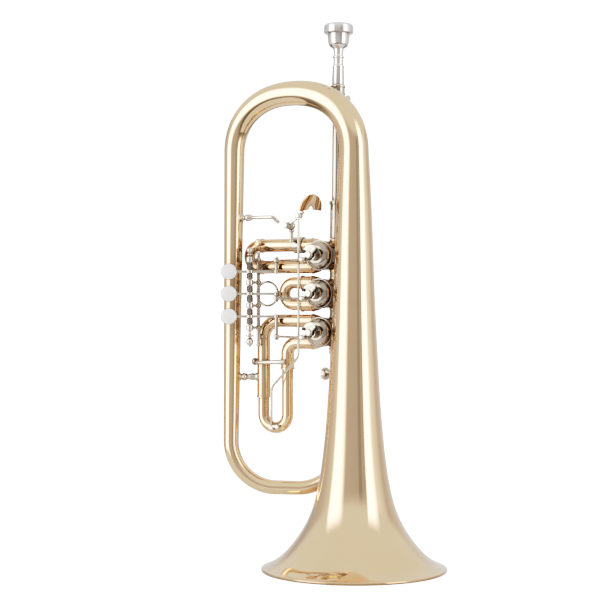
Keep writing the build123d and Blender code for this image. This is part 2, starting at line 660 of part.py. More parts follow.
with BuildPart() as slide_3_bow:
    bow_mid_x = (S3_LEFT_X + S3_RIGHT_X) / 2
    with BuildLine():
        Line((S3_LEFT_X, VALVE_Y, S3_LEFT_TOP - 1), (S3_LEFT_X, VALVE_Y, S3_SPRING_Z))
        ThreePointArc((S3_LEFT_X, VALVE_Y, S3_SPRING_Z),
                      (bow_mid_x, VALVE_Y, S3_SPRING_Z - S3_BOW_R),
                      (S3_RIGHT_X, VALVE_Y, S3_SPRING_Z))
        Line((S3_RIGHT_X, VALVE_Y, S3_SPRING_Z), (S3_RIGHT_X, VALVE_Y, S3_RIGHT_TOP - 1))
    with BuildSketch(Plane(origin=(S3_LEFT_X, VALVE_Y, S3_LEFT_TOP - 1), z_dir=(0, 0, -1))):
        ring_profile(SLIDE_R, BORE_R)
    sweep()
save(slide_3_bow.part, "slide_3_bow")

BRACE_Z = 177.5
with BuildPart() as cross_brace:
    with BuildSketch(Plane(origin=(S3_LEFT_X - 4.5, VALVE_Y - TUBE_R - 1.3, BRACE_Z - 0.8),
                           z_dir=(1, 0, 0.04))):
        Circle(1.2)
    with BuildSketch(Plane(origin=(S3_RIGHT_X + 1.5, VALVE_Y - TUBE_R - 1.5, BRACE_Z + 0.3),
                           z_dir=(1, 0, 0.04))):
        Circle(2.5)
    loft()
    add(slotted_nut(Plane(origin=(S3_LEFT_X - TUBE_R + 0.3, VALVE_Y, BRACE_Z), x_dir=(0, 1, 0),
                          z_dir=(-1, 0, 0))))
    for x in (S3_LEFT_X, S3_RIGHT_X):
        with BuildSketch(Plane(origin=(x, VALVE_Y, BRACE_Z - 10), z_dir=(0, 0, 1))):
            Circle(TUBE_R + 0.12)
        extrude(amount=20, mode=Mode.SUBTRACT)
save(cross_brace.part, "slide_3_cross_brace")


# ---- Lever rack ---------------------------------------------------------------------------------
def upright(x, y, z):
    return Plane(origin=(x, y, z), z_dir=(0, 0, 1))


POST_HALF = 2.6
with BuildPart() as rack_rail:
    with BuildSketch(upright(RAIL_X, RAIL_Y, 193)):
        Circle(1.7)
    extrude(amount=82)
    reach = Vector(HINGE_X - RAIL_X, HINGE_Y - RAIL_Y, 0)
    for z in POST_Z:
        with BuildSketch(Plane(origin=(RAIL_X, RAIL_Y, z), z_dir=reach)):
            Circle(1.5)
        extrude(amount=reach.length)
        with Locations((RAIL_X, RAIL_Y, z)):
            Sphere(2.7)
        with BuildSketch(upright(HINGE_X, HINGE_Y, z - POST_HALF)):
            Circle(3.2)
        extrude(amount=2 * POST_HALF)
    with Locations((RAIL_X, RAIL_Y, 193)):
        Sphere(2.2)
    with BuildSketch(upright(HINGE_X, HINGE_Y, 190)):
        Circle(HINGE_R + 0.02)
    extrude(amount=100, mode=Mode.SUBTRACT)
    # Two feet join the rail to the first slide's lower sleeve and the third slide's branch.
    for z in (VALVE_Z[0] - PORT_OFFSET, VALVE_Z[2] + PORT_OFFSET - 14.0):
        with BuildSketch(Plane(origin=(RAIL_X, RAIL_Y, z), z_dir=(0, 1, 0))):
            Circle(2.2)
        extrude(amount=VALVE_Y - RAIL_Y)
    with BuildSketch(slide_plane(-90, VALVE_Z[0] - PORT_OFFSET)):
        Circle(TUBE_R + 0.75)
    extrude(amount=20, mode=Mode.SUBTRACT)
    with BuildSketch(upright(S3_LEFT_X, VALVE_Y, 180)):
        Circle(TUBE_R)
    extrude(amount=36, mode=Mode.SUBTRACT)
save(rack_rail.part, "rack_rail")

rod_tall = ROD_TOP_Z - ROD_LOW_Z
hinge_outline = [(0, -12), (0.5, -10.5), (1.3, -9.3), (2.9, -7.6), (3.4, -5.6), (2.9, -3.4),
                 (1.5, -2.4), (1.5, -1.6), (3.6, -1.2), (3.6, 0.1), (HINGE_R, 0.3),
                 (HINGE_R, rod_tall), (2.6, rod_tall + 0.2), (2.6, rod_tall + 1.2),
                 (1.6, rod_tall + 1.8), (2.9, rod_tall + 3.3), (3.1, rod_tall + 4.5),
                 (2.4, rod_tall + 6.1), (0, rod_tall + 6.8)]
save(revolve_about(upright(HINGE_X, HINGE_Y, ROD_LOW_Z), hinge_outline), "hinge_rod")

HUB_R = 2.1
touch_run = Vector(TOUCH_X - HINGE_X, TOUCH_Y - HINGE_Y, 0)
touch_out = touch_run.normalized()
touch_normal = Vector(-touch_out.Y, touch_out.X, 0)
BLADE_THICK = 2.4
CUP_FRONT = 1.6             # seat of the touchpiece, in front of the blade's middle


def lever_hub(lever):
    top = POST_Z[lever] - POST_HALF - 0.25
    low = POST_Z[lever + 1] + POST_HALF + 0.25
    return low, top


def build_lever(lever):
    number = lever + 1
    z = LEVER_Z[lever]
    low, top = lever_hub(lever)
    post_x, post_y = drive_post()
    joint_z = link_z(lever)
    rises = joint_z > z
    with BuildPart() as body:
        with BuildSketch(upright(HINGE_X, HINGE_Y, low)):
            Circle(HUB_R)
        extrude(amount=top - low)
        with BuildSketch(upright(0, 0, z - BLADE_THICK / 2)):
            with BuildLine():
                Polyline((TOUCH_X + 4.8 * touch_out.X * -1, TOUCH_Y - 4.8 * touch_out.Y),
                         (HINGE_X, HINGE_Y), (post_x, post_y))
                offset(amount=1.5)
            make_face()
        extrude(amount=BLADE_THICK)
        with BuildSketch(upright(HINGE_X, HINGE_Y, z - BLADE_THICK / 2)):
            Circle(3.6)
        extrude(amount=BLADE_THICK)
        # Round cup that holds the touchpiece.
        with BuildSketch(Plane(origin=Vector(TOUCH_X, TOUCH_Y, z) + touch_normal * CUP_FRONT,
                               z_dir=touch_normal)):
            Circle(TOUCH_R)
        extrude(amount=-1.6)
        # Post that lifts or lowers the link's joint, with a head beyond the joint.
        span = joint_z - z + (2.0 if rises else -2.0)
        with BuildSketch(upright(post_x, post_y, z)):
            Circle(1.3)
        extrude(amount=span)
        with BuildSketch(upright(post_x, post_y, z)):
            Circle(1.9)
        extrude(amount=joint_z - z + (-1.8 if rises else 1.8))
        with BuildSketch(upright(post_x, post_y, joint_z + (1.8 if rises else -1.8))):
            Circle(2.0)
        extrude(amount=1.5 if rises else -1.5)
        with BuildSketch(upright(HINGE_X, HINGE_Y, low - 1)):
            Circle(HINGE_R + RUN_GAP)
        extrude(amount=top - low + 2, mode=Mode.SUBTRACT)
    save(body.part, f"lever_{number}")

    pearl_plane = Plane(origin=Vector(TOUCH_X, TOUCH_Y, z) + touch_normal * CUP_FRONT,
                        z_dir=touch_normal)
    save(revolve_about(pearl_plane, [(0, 0.02), (TOUCH_R - 0.3, 0.02), (TOUCH_R - 0.1, 0.5),
                                     (TOUCH_R - 0.9, 1.3), (TOUCH_R - 3.0, 1.9), (0, 2.1)]),
         f"touchpiece_{number}")


for lever in range(3):
    build_lever(lever)

with BuildPart() as lever_springs:
    for lever in range(3):
        low, top = lever_hub(lever)
        for start, end in ((low + 0.2, LEVER_Z[lever] - BLADE_THICK / 2 - 0.25),
                           (LEVER_Z[lever] + BLADE_THICK / 2 + 0.25, top - 0.2)):
            with BuildSketch(upright(HINGE_X, HINGE_Y, start)):
                ring_profile(3.1, HUB_R + 0.15)
            extrude(amount=end - start)
save(lever_springs.part, "lever_springs")


def build_link(valve):
    number = valve + 1
    z = link_z(valve)
    post_x, post_y = drive_post()
    stud_x = VALVE_X - STOP_R / math.sqrt(2)
    run = Vector(stud_x - post_x, LINK_Y - post_y, 0)
    out = run.normalized()
    with BuildPart() as link:
        start = Vector(post_x, post_y, z) + out * 2.0
        with BuildSketch(Plane(origin=start, z_dir=out)):
            Circle(1.1)
        extrude(amount=run.length - 3.9)
        with BuildSketch(upright(post_x, post_y, z - 1.45)):
            Circle(2.6)
        extrude(amount=2.9)
        with BuildSketch(upright(post_x, post_y, z - 3)):
            Circle(1.3 + RUN_GAP)
        extrude(amount=6, mode=Mode.SUBTRACT)
        with BuildSketch(Plane(origin=(stud_x, LINK_Y + 1.0, z), x_dir=(1, 0, 0),
                               z_dir=(0, -1, 0))):
            Circle(2.3)
        extrude(amount=2.0)
        with BuildSketch(Plane(origin=(stud_x, LINK_Y - 1.0, z), x_dir=(1, 0, 0),
                               z_dir=(0, -1, 0))):
            Circle(1.7)
        extrude(amount=1.6)
        with BuildSketch(Plane(origin=(stud_x, LINK_Y - 2.6, z), x_dir=(1, 0, 0),
                               z_dir=(0, -1, 0))):
            Rectangle(5, 0.6, rotation=30)
        extrude(amount=-0.7, mode=Mode.SUBTRACT)
    save(link.part, f"link_{number}")


for valve in range(3):
    build_link(valve)


# ---- Third-slide trigger ---------------------------------------------------------------------------
bracket_base_z = VALVE_Z[0] + PORT_OFFSET
with BuildPart() as trigger_bracket:
    with BuildSketch(Plane(origin=(TRIGGER_X - 4, VALVE_Y, bracket_base_z), x_dir=(0, 1, 0),
                           z_dir=(1, 0, 0))):
        Circle(TUBE_R + 1.6)
    extrude(amount=9)
    with BuildSketch(upright(TRIGGER_X, TRIGGER_Y + 9, bracket_base_z + 2)):
        Circle(2.4)
    extrude(amount=12)
    with BuildSketch(Plane(origin=(TRIGGER_X, VALVE_Y - 4, bracket_base_z + 4),
                           z_dir=(0, -1, 0))):
        Circle(2.2)
    extrude(amount=VALVE_Y - 4 - TRIGGER_Y - 8)
    with BuildSketch(Plane(origin=(TRIGGER_X, TRIGGER_Y + 11, TRIGGER_Z), x_dir=(1, 0, 0),
                           z_dir=(0, -1, 0))):
        Circle(3.4)
    extrude(amount=8.6)
    with BuildSketch(Plane(origin=(TRIGGER_X, TRIGGER_Y + 3, TRIGGER_Z), x_dir=(1, 0, 0),
                           z_dir=(0, -1, 0))):
        Circle(1.5)
    extrude(amount=5.6)
    with BuildSketch(Plane(origin=(TRIGGER_X, TRIGGER_Y - 2.1, TRIGGER_Z), x_dir=(1, 0, 0),
                           z_dir=(0, -1, 0))):
        Circle(2.5)
    extrude(amount=1.4)
    with BuildSketch(slide_plane(TRIGGER_X + 10, bracket_base_z)):
        Circle(TUBE_R + 0.02)
    extrude(amount=20, mode=Mode.SUBTRACT)
save(trigger_bracket.part, "trigger_bracket")

arm_run = Vector(TRIGGER_ROD_X - TRIGGER_X, 0, TRIGGER_ROD_Z - TRIGGER_Z)
arm_out = arm_run.normalized()
ARM_END = (-44.5, 309.4)
with BuildPart() as trigger_lever:
    with BuildSketch(Plane(origin=(TRIGGER_X, TRIGGER_Y + 2, TRIGGER_Z), x_dir=(1, 0, 0),
                           z_dir=(0, -1, 0))):
        Circle(3.2)
    extrude(amount=3.8)
    with BuildSketch(Plane(origin=(0, TRIGGER_Y + 1.2, 0), x_dir=(1, 0, 0),
                           z_dir=(0, -1, 0))):
        with BuildLine():
            Polyline((TRIGGER_X, TRIGGER_Z), (TRIGGER_ROD_X, TRIGGER_ROD_Z),
                     ARM_END)
            offset(amount=1.5)
        make_face()
        with Locations((TRIGGER_ROD_X, TRIGGER_ROD_Z)):
            Circle(2.6)
    extrude(amount=2.2)
    with BuildSketch(Plane(origin=(TRIGGER_X, TRIGGER_Y + 3, TRIGGER_Z), x_dir=(1, 0, 0),
                           z_dir=(0, -1, 0))):
        Circle(1.5 + RUN_GAP)
    extrude(amount=8, mode=Mode.SUBTRACT)
save(trigger_lever.part, "trigger_lever")

# The thumb saddle is an arched plate. The arm holds it by its front wall.
SADDLE_CENTRE = Vector(-41.0, -2.4, 311.5)
SADDLE_R = 8.0
SADDLE_LENGTH = 11.0
SADDLE_TURN = math.radians(17)      # of its axis, from +X towards -Y
SADDLE_DIP = math.radians(15)
saddle_axis = Vector(math.cos(SADDLE_TURN) * math.cos(SADDLE_DIP),
                     -math.sin(SADDLE_TURN) * math.cos(SADDLE_DIP), -math.sin(SADDLE_DIP))
saddle_side = Vector(math.sin(SADDLE_TURN), math.cos(SADDLE_TURN), 0)
with BuildPart() as thumb_saddle:
    with BuildSketch(Plane(origin=SADDLE_CENTRE - saddle_axis * SADDLE_LENGTH / 2,
                           x_dir=saddle_side, z_dir=saddle_axis)):
        with BuildLine():
            CenterArc((0, 0), SADDLE_R, -4, 194)
            offset(amount=0.7)
        make_face()
    extrude(amount=SADDLE_LENGTH)
save(thumb_saddle.part, "thumb_saddle")

# The rod drops straight, crosses to the left leg of the bow and is screwed to the bow.
ROD_R = 1.1
ROD_PLANE_Y = TRIGGER_Y - 2.4
rod_foot_x = S3_LEFT_X + 12.0
rod_foot_y = VALVE_Y - SLIDE_R - ROD_R - 1.2
rod_path = [(TRIGGER_ROD_X, ROD_PLANE_Y, TRIGGER_ROD_Z - 2.4), (TRIGGER_ROD_X, ROD_PLANE_Y, 183),
            (rod_foot_x, rod_foot_y, 155), (rod_foot_x, rod_foot_y, 121.5)]
with BuildPart() as trigger_rod:
    with BuildLine():
        FilletPolyline(*rod_path, radius=9)
    with BuildSketch(Plane(origin=rod_path[0], z_dir=(0, 0, -1))):
        Circle(ROD_R)
    sweep()
    with BuildSketch(Plane(origin=(TRIGGER_ROD_X, ROD_PLANE_Y + 1.0, TRIGGER_ROD_Z),
                           x_dir=(1, 0, 0), z_dir=(0, -1, 0))):
        Circle(3.0)
    extrude(amount=2.2)
    with BuildSketch(Plane(origin=(TRIGGER_ROD_X, ROD_PLANE_Y - 1.2, TRIGGER_ROD_Z),
                           x_dir=(1, 0, 0), z_dir=(0, -1, 0))):
        Circle(1.9)
    extrude(amount=1.5)
    for x in (rod_foot_x, rod_foot_x + 5.5):
        z = S3_SPRING_Z - math.sqrt(S3_BOW_R ** 2 - (x - bow_mid_x) ** 2)
        with BuildSketch(Plane(origin=(x, rod_foot_y - 1.6, z), x_dir=(1, 0, 0),
                               z_dir=(0, 1, 0))):
            Circle(2.3)
        extrude(amount=VALVE_Y - rod_foot_y)
    with BuildSketch(Plane(origin=(rod_foot_x + 2.75, rod_foot_y - 0.6, 120.4), x_dir=(1, 0, 0),
                           z_dir=(0, 1, 0))):
        Rectangle(5.5, 2.4)
    extrude(amount=2)
    with BuildLine():
        ThreePointArc((S3_LEFT_X, VALVE_Y, S3_SPRING_Z),
                      (bow_mid_x, VALVE_Y, S3_SPRING_Z - S3_BOW_R),
                      (S3_RIGHT_X, VALVE_Y, S3_SPRING_Z))
    with BuildSketch(Plane(origin=(S3_LEFT_X, VALVE_Y, S3_SPRING_Z), z_dir=(0, 0, -1))):
        Circle(SLIDE_R + 0.01)
    sweep(mode=Mode.SUBTRACT)
save(trigger_rod.part, "trigger_rod")


# ---- Braces, hook and lyre holder --------------------------------------------------------------------
HOOK_Z = 305.6
hook_leg_x = LEG_TOP_X + (LEG_FOOT_X - LEG_TOP_X) * (BOW_SPRING_Z - HOOK_Z) / (
    BOW_SPRING_Z - BOTTOM_SPRING_Z)
hook_leg_r = LEG_TOP_R + (LEG_FOOT_R - LEG_TOP_R) * (BOW_SPRING_Z - HOOK_Z) / (
    BOW_SPRING_Z - BOTTOM_SPRING_Z)
hook_plane = Plane(origin=(hook_leg_x, 0, HOOK_Z), x_dir=(0, 1, 0), z_dir=(1, 0, 0))
with BuildPart() as hand_hook:
    add(revolve_about(hook_plane, [(0, 6), (5.2, 6), (5.2, 8.2), (2.4, 9.4), (2.0, 11.5),
                                   (3.2, 13.2), (3.4, 15.5), (2.6, 18), (1.75, 19.5), (0, 19.5)]))
    with BuildLine():
        FilletPolyline((hook_leg_x + 18, 0, HOOK_Z), (hook_leg_x + 40, 0, HOOK_Z),
                       (hook_leg_x + 44, 4, HOOK_Z - 5), radius=3)
    with BuildSketch(Plane(origin=(hook_leg_x + 18, 0, HOOK_Z), z_dir=(1, 0, 0))):
        Circle(1.75)
    sweep()
    with BuildSketch(upright(hook_leg_x, 0, HOOK_Z - 12)):
        Circle(hook_leg_r + 0.12)
    extrude(amount=24, mode=Mode.SUBTRACT)
save(hand_hook.part, "hand_hook")

BEADED_Z = 164.0
beaded_leg_x = LEG_TOP_X + (LEG_FOOT_X - LEG_TOP_X) * (BOW_SPRING_Z - BEADED_Z) / (
    BOW_SPRING_Z - BOTTOM_SPRING_Z)
beaded_leg_r = LEG_TOP_R + (LEG_FOOT_R - LEG_TOP_R) * (BOW_SPRING_Z - BEADED_Z) / (
    BOW_SPRING_Z - BOTTOM_SPRING_Z)
beaded_run = Vector(S3_LEFT_X - beaded_leg_x, VALVE_Y, 0)
with BuildPart() as beaded_brace:
    length = beaded_run.length
    add(revolve_about(Plane(origin=(beaded_leg_x, 0, BEADED_Z), x_dir=(0, 0, 1),
                            z_dir=beaded_run), [
        (0, 4), (4.4, 4), (4.2, 7.6), (2.9, 8.6), (3.8, 10.5), (3.7, 12), (2.3, 14.4),
        (3.2, 16.6), (3.6, 18.6), (2.9, 20.6), (3.7, 22.0), (3.9, length - 3), (0, length - 3)]))
    with BuildSketch(upright(beaded_leg_x, 0, BEADED_Z - 8)):
        Circle(beaded_leg_r + 0.12)
    extrude(amount=16, mode=Mode.SUBTRACT)
    with BuildSketch(upright(S3_LEFT_X, VALVE_Y, BEADED_Z - 8)):
        Circle(TUBE_R + 0.12)
    extrude(amount=16, mode=Mode.SUBTRACT)
save(beaded_brace.part, "beaded_brace")


def bell_radius(height):
    """Outer radius of the bell at a height, straight between the outline's points."""
    for (r_low, z_low), (r_high, z_high) in zip(BELL_CURVE, BELL_CURVE[1:]):
        if z_low <= height <= z_high:
            return r_low + (r_high - r_low) * (height - z_low) / (z_high - z_low)
    return BELL_TOP_R


# Two short stays join the bell to the main line between the valves.
with BuildPart() as bell_braces:
    for upper, lower in ((0, 1), (1, 2)):
        z = (VALVE_Z[upper] + VALVE_Z[lower]) / 2
        run = Vector(-MAIN_X, -VALVE_Y, 0)
        with BuildSketch(Plane(origin=(MAIN_X, VALVE_Y, z), z_dir=run)):
            Circle(1.9)
        extrude(amount=run.length - 10)
        with BuildSketch(upright(MAIN_X, VALVE_Y, z - 6)):
            Circle(TUBE_R + 0.02)
        extrude(amount=12, mode=Mode.SUBTRACT)
    with BuildSketch(upright(0, 0, VALVE_Z[2])):
        Circle(bell_radius(VALVE_Z[2]) + 0.2)
    with BuildSketch(upright(0, 0, VALVE_Z[0])):
        Circle(bell_radius(VALVE_Z[0]) + 0.2)
    loft(mode=Mode.SUBTRACT)
save(bell_braces.part, "bell_braces")

# The lyre socket leans back, so that the lyre's stem passes behind the valves.
LYRE_X = MAIN_X - 0.8
LYRE_Y = 32.6
LYRE_R = 4.6
LYRE_TILT = math.radians(15)
lyre_centre = Vector(LYRE_X, LYRE_Y, LYRE_Z)
lyre_out = Vector(0, math.sin(LYRE_TILT), math.cos(LYRE_TILT))
lyre_plane = Plane(origin=lyre_centre, x_dir=(1, 0, 0), z_dir=lyre_out)
screw_plane = Plane(origin=lyre_centre, x_dir=lyre_out, z_dir=(-1, 0, 0))
screw_r = 1.6 - RUN_GAP
with BuildPart() as lyre_holder:
    with BuildSketch(lyre_plane.offset(-LYRE_LENGTH / 2)):
        Circle(LYRE_R)
    extrude(amount=LYRE_LENGTH)
    with BuildSketch(Plane(origin=lyre_centre, z_dir=(0, -1, 0))):
        Circle(2.4)
    extrude(amount=LYRE_Y - DOWN_Y + 8)
    with BuildSketch(screw_plane.offset(3.4)):
        Circle(3.2)
    extrude(amount=4.2)
    with BuildSketch(lyre_plane.offset(-LYRE_LENGTH)):
        Circle(LYRE_BORE_R)
    extrude(amount=2 * LYRE_LENGTH, mode=Mode.SUBTRACT)
    with BuildSketch(screw_plane):
        Circle(1.6)
    extrude(amount=12, mode=Mode.SUBTRACT)
    with BuildLine():
        FilletPolyline(*down_path, radius=DOWN_BEND)
    with BuildSketch(Plane(origin=down_path[0], z_dir=(0, 0, -1))):
        Circle(TUBE_R + 0.05)
    sweep(mode=Mode.SUBTRACT)
save(lyre_holder.part, "lyre_holder")

save(revolve_about(screw_plane, [
    (0, 3.0), (screw_r, 3.0), (screw_r, 9), (2.6, 9), (2.6, 10.6), (1.9, 11.2), (1.9, 14.5),
    (3.0, 15.5), (5.2, 17.2), (5.8, 18.2), (5.8, 20.6), (5.2, 21.6), (0, 22.0)]), "lyre_screw")
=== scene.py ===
import json
import math

import bmesh
import bpy
import numpy as np
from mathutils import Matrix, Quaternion, Vector


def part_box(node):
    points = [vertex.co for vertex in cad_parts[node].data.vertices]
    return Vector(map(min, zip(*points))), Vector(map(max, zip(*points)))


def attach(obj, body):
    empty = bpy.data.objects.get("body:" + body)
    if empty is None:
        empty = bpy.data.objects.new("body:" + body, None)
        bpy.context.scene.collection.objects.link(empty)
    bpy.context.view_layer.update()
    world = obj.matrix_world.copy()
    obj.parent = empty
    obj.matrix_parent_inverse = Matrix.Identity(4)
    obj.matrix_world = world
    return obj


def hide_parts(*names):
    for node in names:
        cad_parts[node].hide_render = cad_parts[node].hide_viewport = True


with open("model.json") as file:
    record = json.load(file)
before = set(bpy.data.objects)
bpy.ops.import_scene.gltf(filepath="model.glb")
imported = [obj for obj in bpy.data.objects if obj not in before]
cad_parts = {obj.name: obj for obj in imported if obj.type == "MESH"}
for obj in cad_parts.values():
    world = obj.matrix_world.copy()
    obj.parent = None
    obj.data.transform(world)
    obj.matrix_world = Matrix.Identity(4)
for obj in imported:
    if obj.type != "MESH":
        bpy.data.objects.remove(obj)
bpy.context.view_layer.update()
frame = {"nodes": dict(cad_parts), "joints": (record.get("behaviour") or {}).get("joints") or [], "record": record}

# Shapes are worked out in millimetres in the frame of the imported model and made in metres.
MM = 0.001
UP = Vector((0, 0, 1))
FRONT = Vector((0, -1, 0))
LEFT = Vector((-1, 0, 0))
JOINTS = {joint["name"]: joint for joint in frame["joints"]}


def low(node):
    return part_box(node)[0] / MM


def high(node):
    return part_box(node)[1] / MM


def middle(node):
    return (low(node) + high(node)) / 2


def joint_point(name):
    return Vector(JOINTS[name]["pos_m"]) / MM


# ---- Where things are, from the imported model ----
VALVES = [middle(f"valve_{number}_casing") for number in (1, 2, 3)]
VALVE_X = VALVES[0].x
VALVE_Y = VALVES[0].y
CASING_R = (high("valve_1_casing").x - low("valve_1_casing").x) / 2
CASING_HALF = (high("valve_1_casing").y - low("valve_1_casing").y) / 2
TUBE_R = 5.9
SLIDE_R = 5.15
SLEEVE_BORE_R = 5.2
BORE_R = 4.6
WALL = 0.7
MAIN_X = middle("main_line_tubes").x
PORT_OFFSET = MAIN_X - VALVE_X
KNUCKLE_REACH = 14.5
PORT_X = VALVE_X - KNUCKLE_REACH
BELL_TOP_Z = high("bell_tail").z
HINGE = joint_point("lever_1_press")
POST = joint_point("link_1_swing")
PIPE_OUT = Vector(JOINTS["leadpipe_tune"]["axis"]).normalized()
PIPE_FOOT = Vector((MAIN_X, VALVE_Y, VALVES[0].z + KNUCKLE_REACH))
PIPE_LEAN = math.sqrt(1 - PIPE_OUT.z ** 2)
RECEIVER_TOP_Z = high("mouthpiece_receiver").z - 5.9 * PIPE_LEAN
PIPE_TOP = PIPE_FOOT + PIPE_OUT * ((RECEIVER_TOP_Z - PIPE_FOOT.z) / PIPE_OUT.z)
TRIGGER = joint_point("trigger_swing")


# ---- Outlines and paths ----
def smooth_curve(points, count, start=None, end=None):
    """A cubic spline through 2-D points, natural or with given end directions."""
    knots = np.array([tuple(p) for p in points], float)
    gaps = np.linalg.norm(np.diff(knots, axis=0), axis=1)
    along = np.concatenate([[0], np.cumsum(gaps)])
    size = len(knots)
    matrix = np.zeros((size, size))
    right = np.zeros((size, knots.shape[1]))
    for i in range(1, size - 1):
        a, b = gaps[i - 1], gaps[i]
        matrix[i, i - 1:i + 2] = b, 2 * (a + b), a
        right[i] = 3 * (b * (knots[i] - knots[i - 1]) / a + a * (knots[i + 1] - knots[i]) / b)
    for row, near, gap, given in ((0, 1, gaps[0], start), (size - 1, size - 2, gaps[-1], end)):
        matrix[row, row] = 2 if given is None else 1
        if given is None:
            matrix[row, near] = 1
            chord = (knots[near] - knots[row]) * (1 if row == 0 else -1)
            right[row] = 3 * chord / gap
        else:
            right[row] = np.array(given, float) / np.linalg.norm(given)
    slopes = np.linalg.solve(matrix, right)
    samples = []
    for place in np.linspace(0, along[-1], count):
        i = min(int(np.searchsorted(along, place, side="right")) - 1, size - 2)
        t = (place - along[i]) / gaps[i]
        samples.append(Vector(
            (2 * t ** 3 - 3 * t ** 2 + 1) * knots[i]
            + (t ** 3 - 2 * t ** 2 + t) * gaps[i] * slopes[i]
            + (3 * t ** 2 - 2 * t ** 3) * knots[i + 1]
            + (t ** 3 - t ** 2) * gaps[i] * slopes[i + 1]))
    return samples


def arc_2d(centre, radius, start, end, count):
    """Points on an arc in the plane of an outline; angles in degrees."""
    points = []
    for step in range(count + 1):
        angle = math.radians(start + (end - start) * step / count)
        points.append(Vector((centre[0] + radius * math.cos(angle),
                              centre[1] + radius * math.sin(angle))))
    return points


def eased(outline, radius, steps=4):
    """A closed outline with its corners rounded, except those on the axis."""
    result = []
    corners = [Vector(point) for point in outline]
    for index, point in enumerate(corners):
        before = corners[index - 1] - point
        after = corners[(index + 1) % len(corners)] - point
        if point.x < 1e-6 or before.length < 1e-6 or after.length < 1e-6:
            result.append(point)
            continue
        if math.pi - before.angle(after) < math.radians(14):
            result.append(point)
            continue
        start = point + before.normalized() * min(radius, 0.4 * before.length)
        end = point + after.normalized() * min(radius, 0.4 * after.length)
        for step in range(steps + 1):
            t = step / steps
            result.append(start * (1 - t) ** 2 + point * 2 * t * (1 - t) + end * t ** 2)
    return result


def rounded_path(points, radius, step=3.0):
    """Straight runs joined by arcs of one radius."""
    corners = [Vector(point) for point in points]
    path = [corners[0]]
    for a, p, b in zip(corners, corners[1:], corners[2:]):
        u = (a - p).normalized()
        v = (b - p).normalized()
        half = u.angle(v) / 2
        centre = p + (u + v).normalized() * radius / math.sin(half)
        arm = p + u * radius / math.tan(half) - centre
        turn = math.pi - 2 * half
        axis = arm.cross(p + v * radius / math.tan(half) - centre)
        count = max(2, math.ceil(math.degrees(turn) / step))
        for index in range(count + 1):
            path.append(centre + Quaternion(axis, turn * index / count) @ arm)
    path.append(corners[-1])
    return path


def half_round(centre, side, outward, radius, count):
    """Half a circle from centre + side * radius, outward and round to the opposite side."""
    path = []
    for index in range(count + 1):
        angle = math.pi * index / count
        path.append(centre + side * radius * math.cos(angle) + outward * radius * math.sin(angle))
    return path


def round_section(radius, count=36):
    """Ring of a round tube; a pair of radii gives a steady taper along it."""
    first, final = radius if isinstance(radius, tuple) else (radius, radius)

    def ring(inset, share):
        size = first + (final - first) * share - inset
        return [(size * math.cos(2 * math.pi * i / count), size * math.sin(2 * math.pi * i / count))
                for i in range(count)]
    return ring


def bar_section(width, height, corner):
    """Ring of a bar with rounded corners: width across, height along the up direction."""
    def ring(inset, share):
        half_w = width / 2 - inset
        half_h = height / 2 - inset
        curve = max(0.05, min(corner - inset * 0.3, half_w - 0.01, half_h - 0.01))
        points = []
        for quarter in range(4):
            angle = 90 * quarter
            sx = 1 if quarter in (0, 3) else -1
            sy = 1 if quarter in (0, 1) else -1
            centre = (sx * (half_w - curve), sy * (half_h - curve))
            points.extend(arc_2d(centre, curve, angle, angle + 90, 5))
        return [tuple(point) for point in points]
    return ring


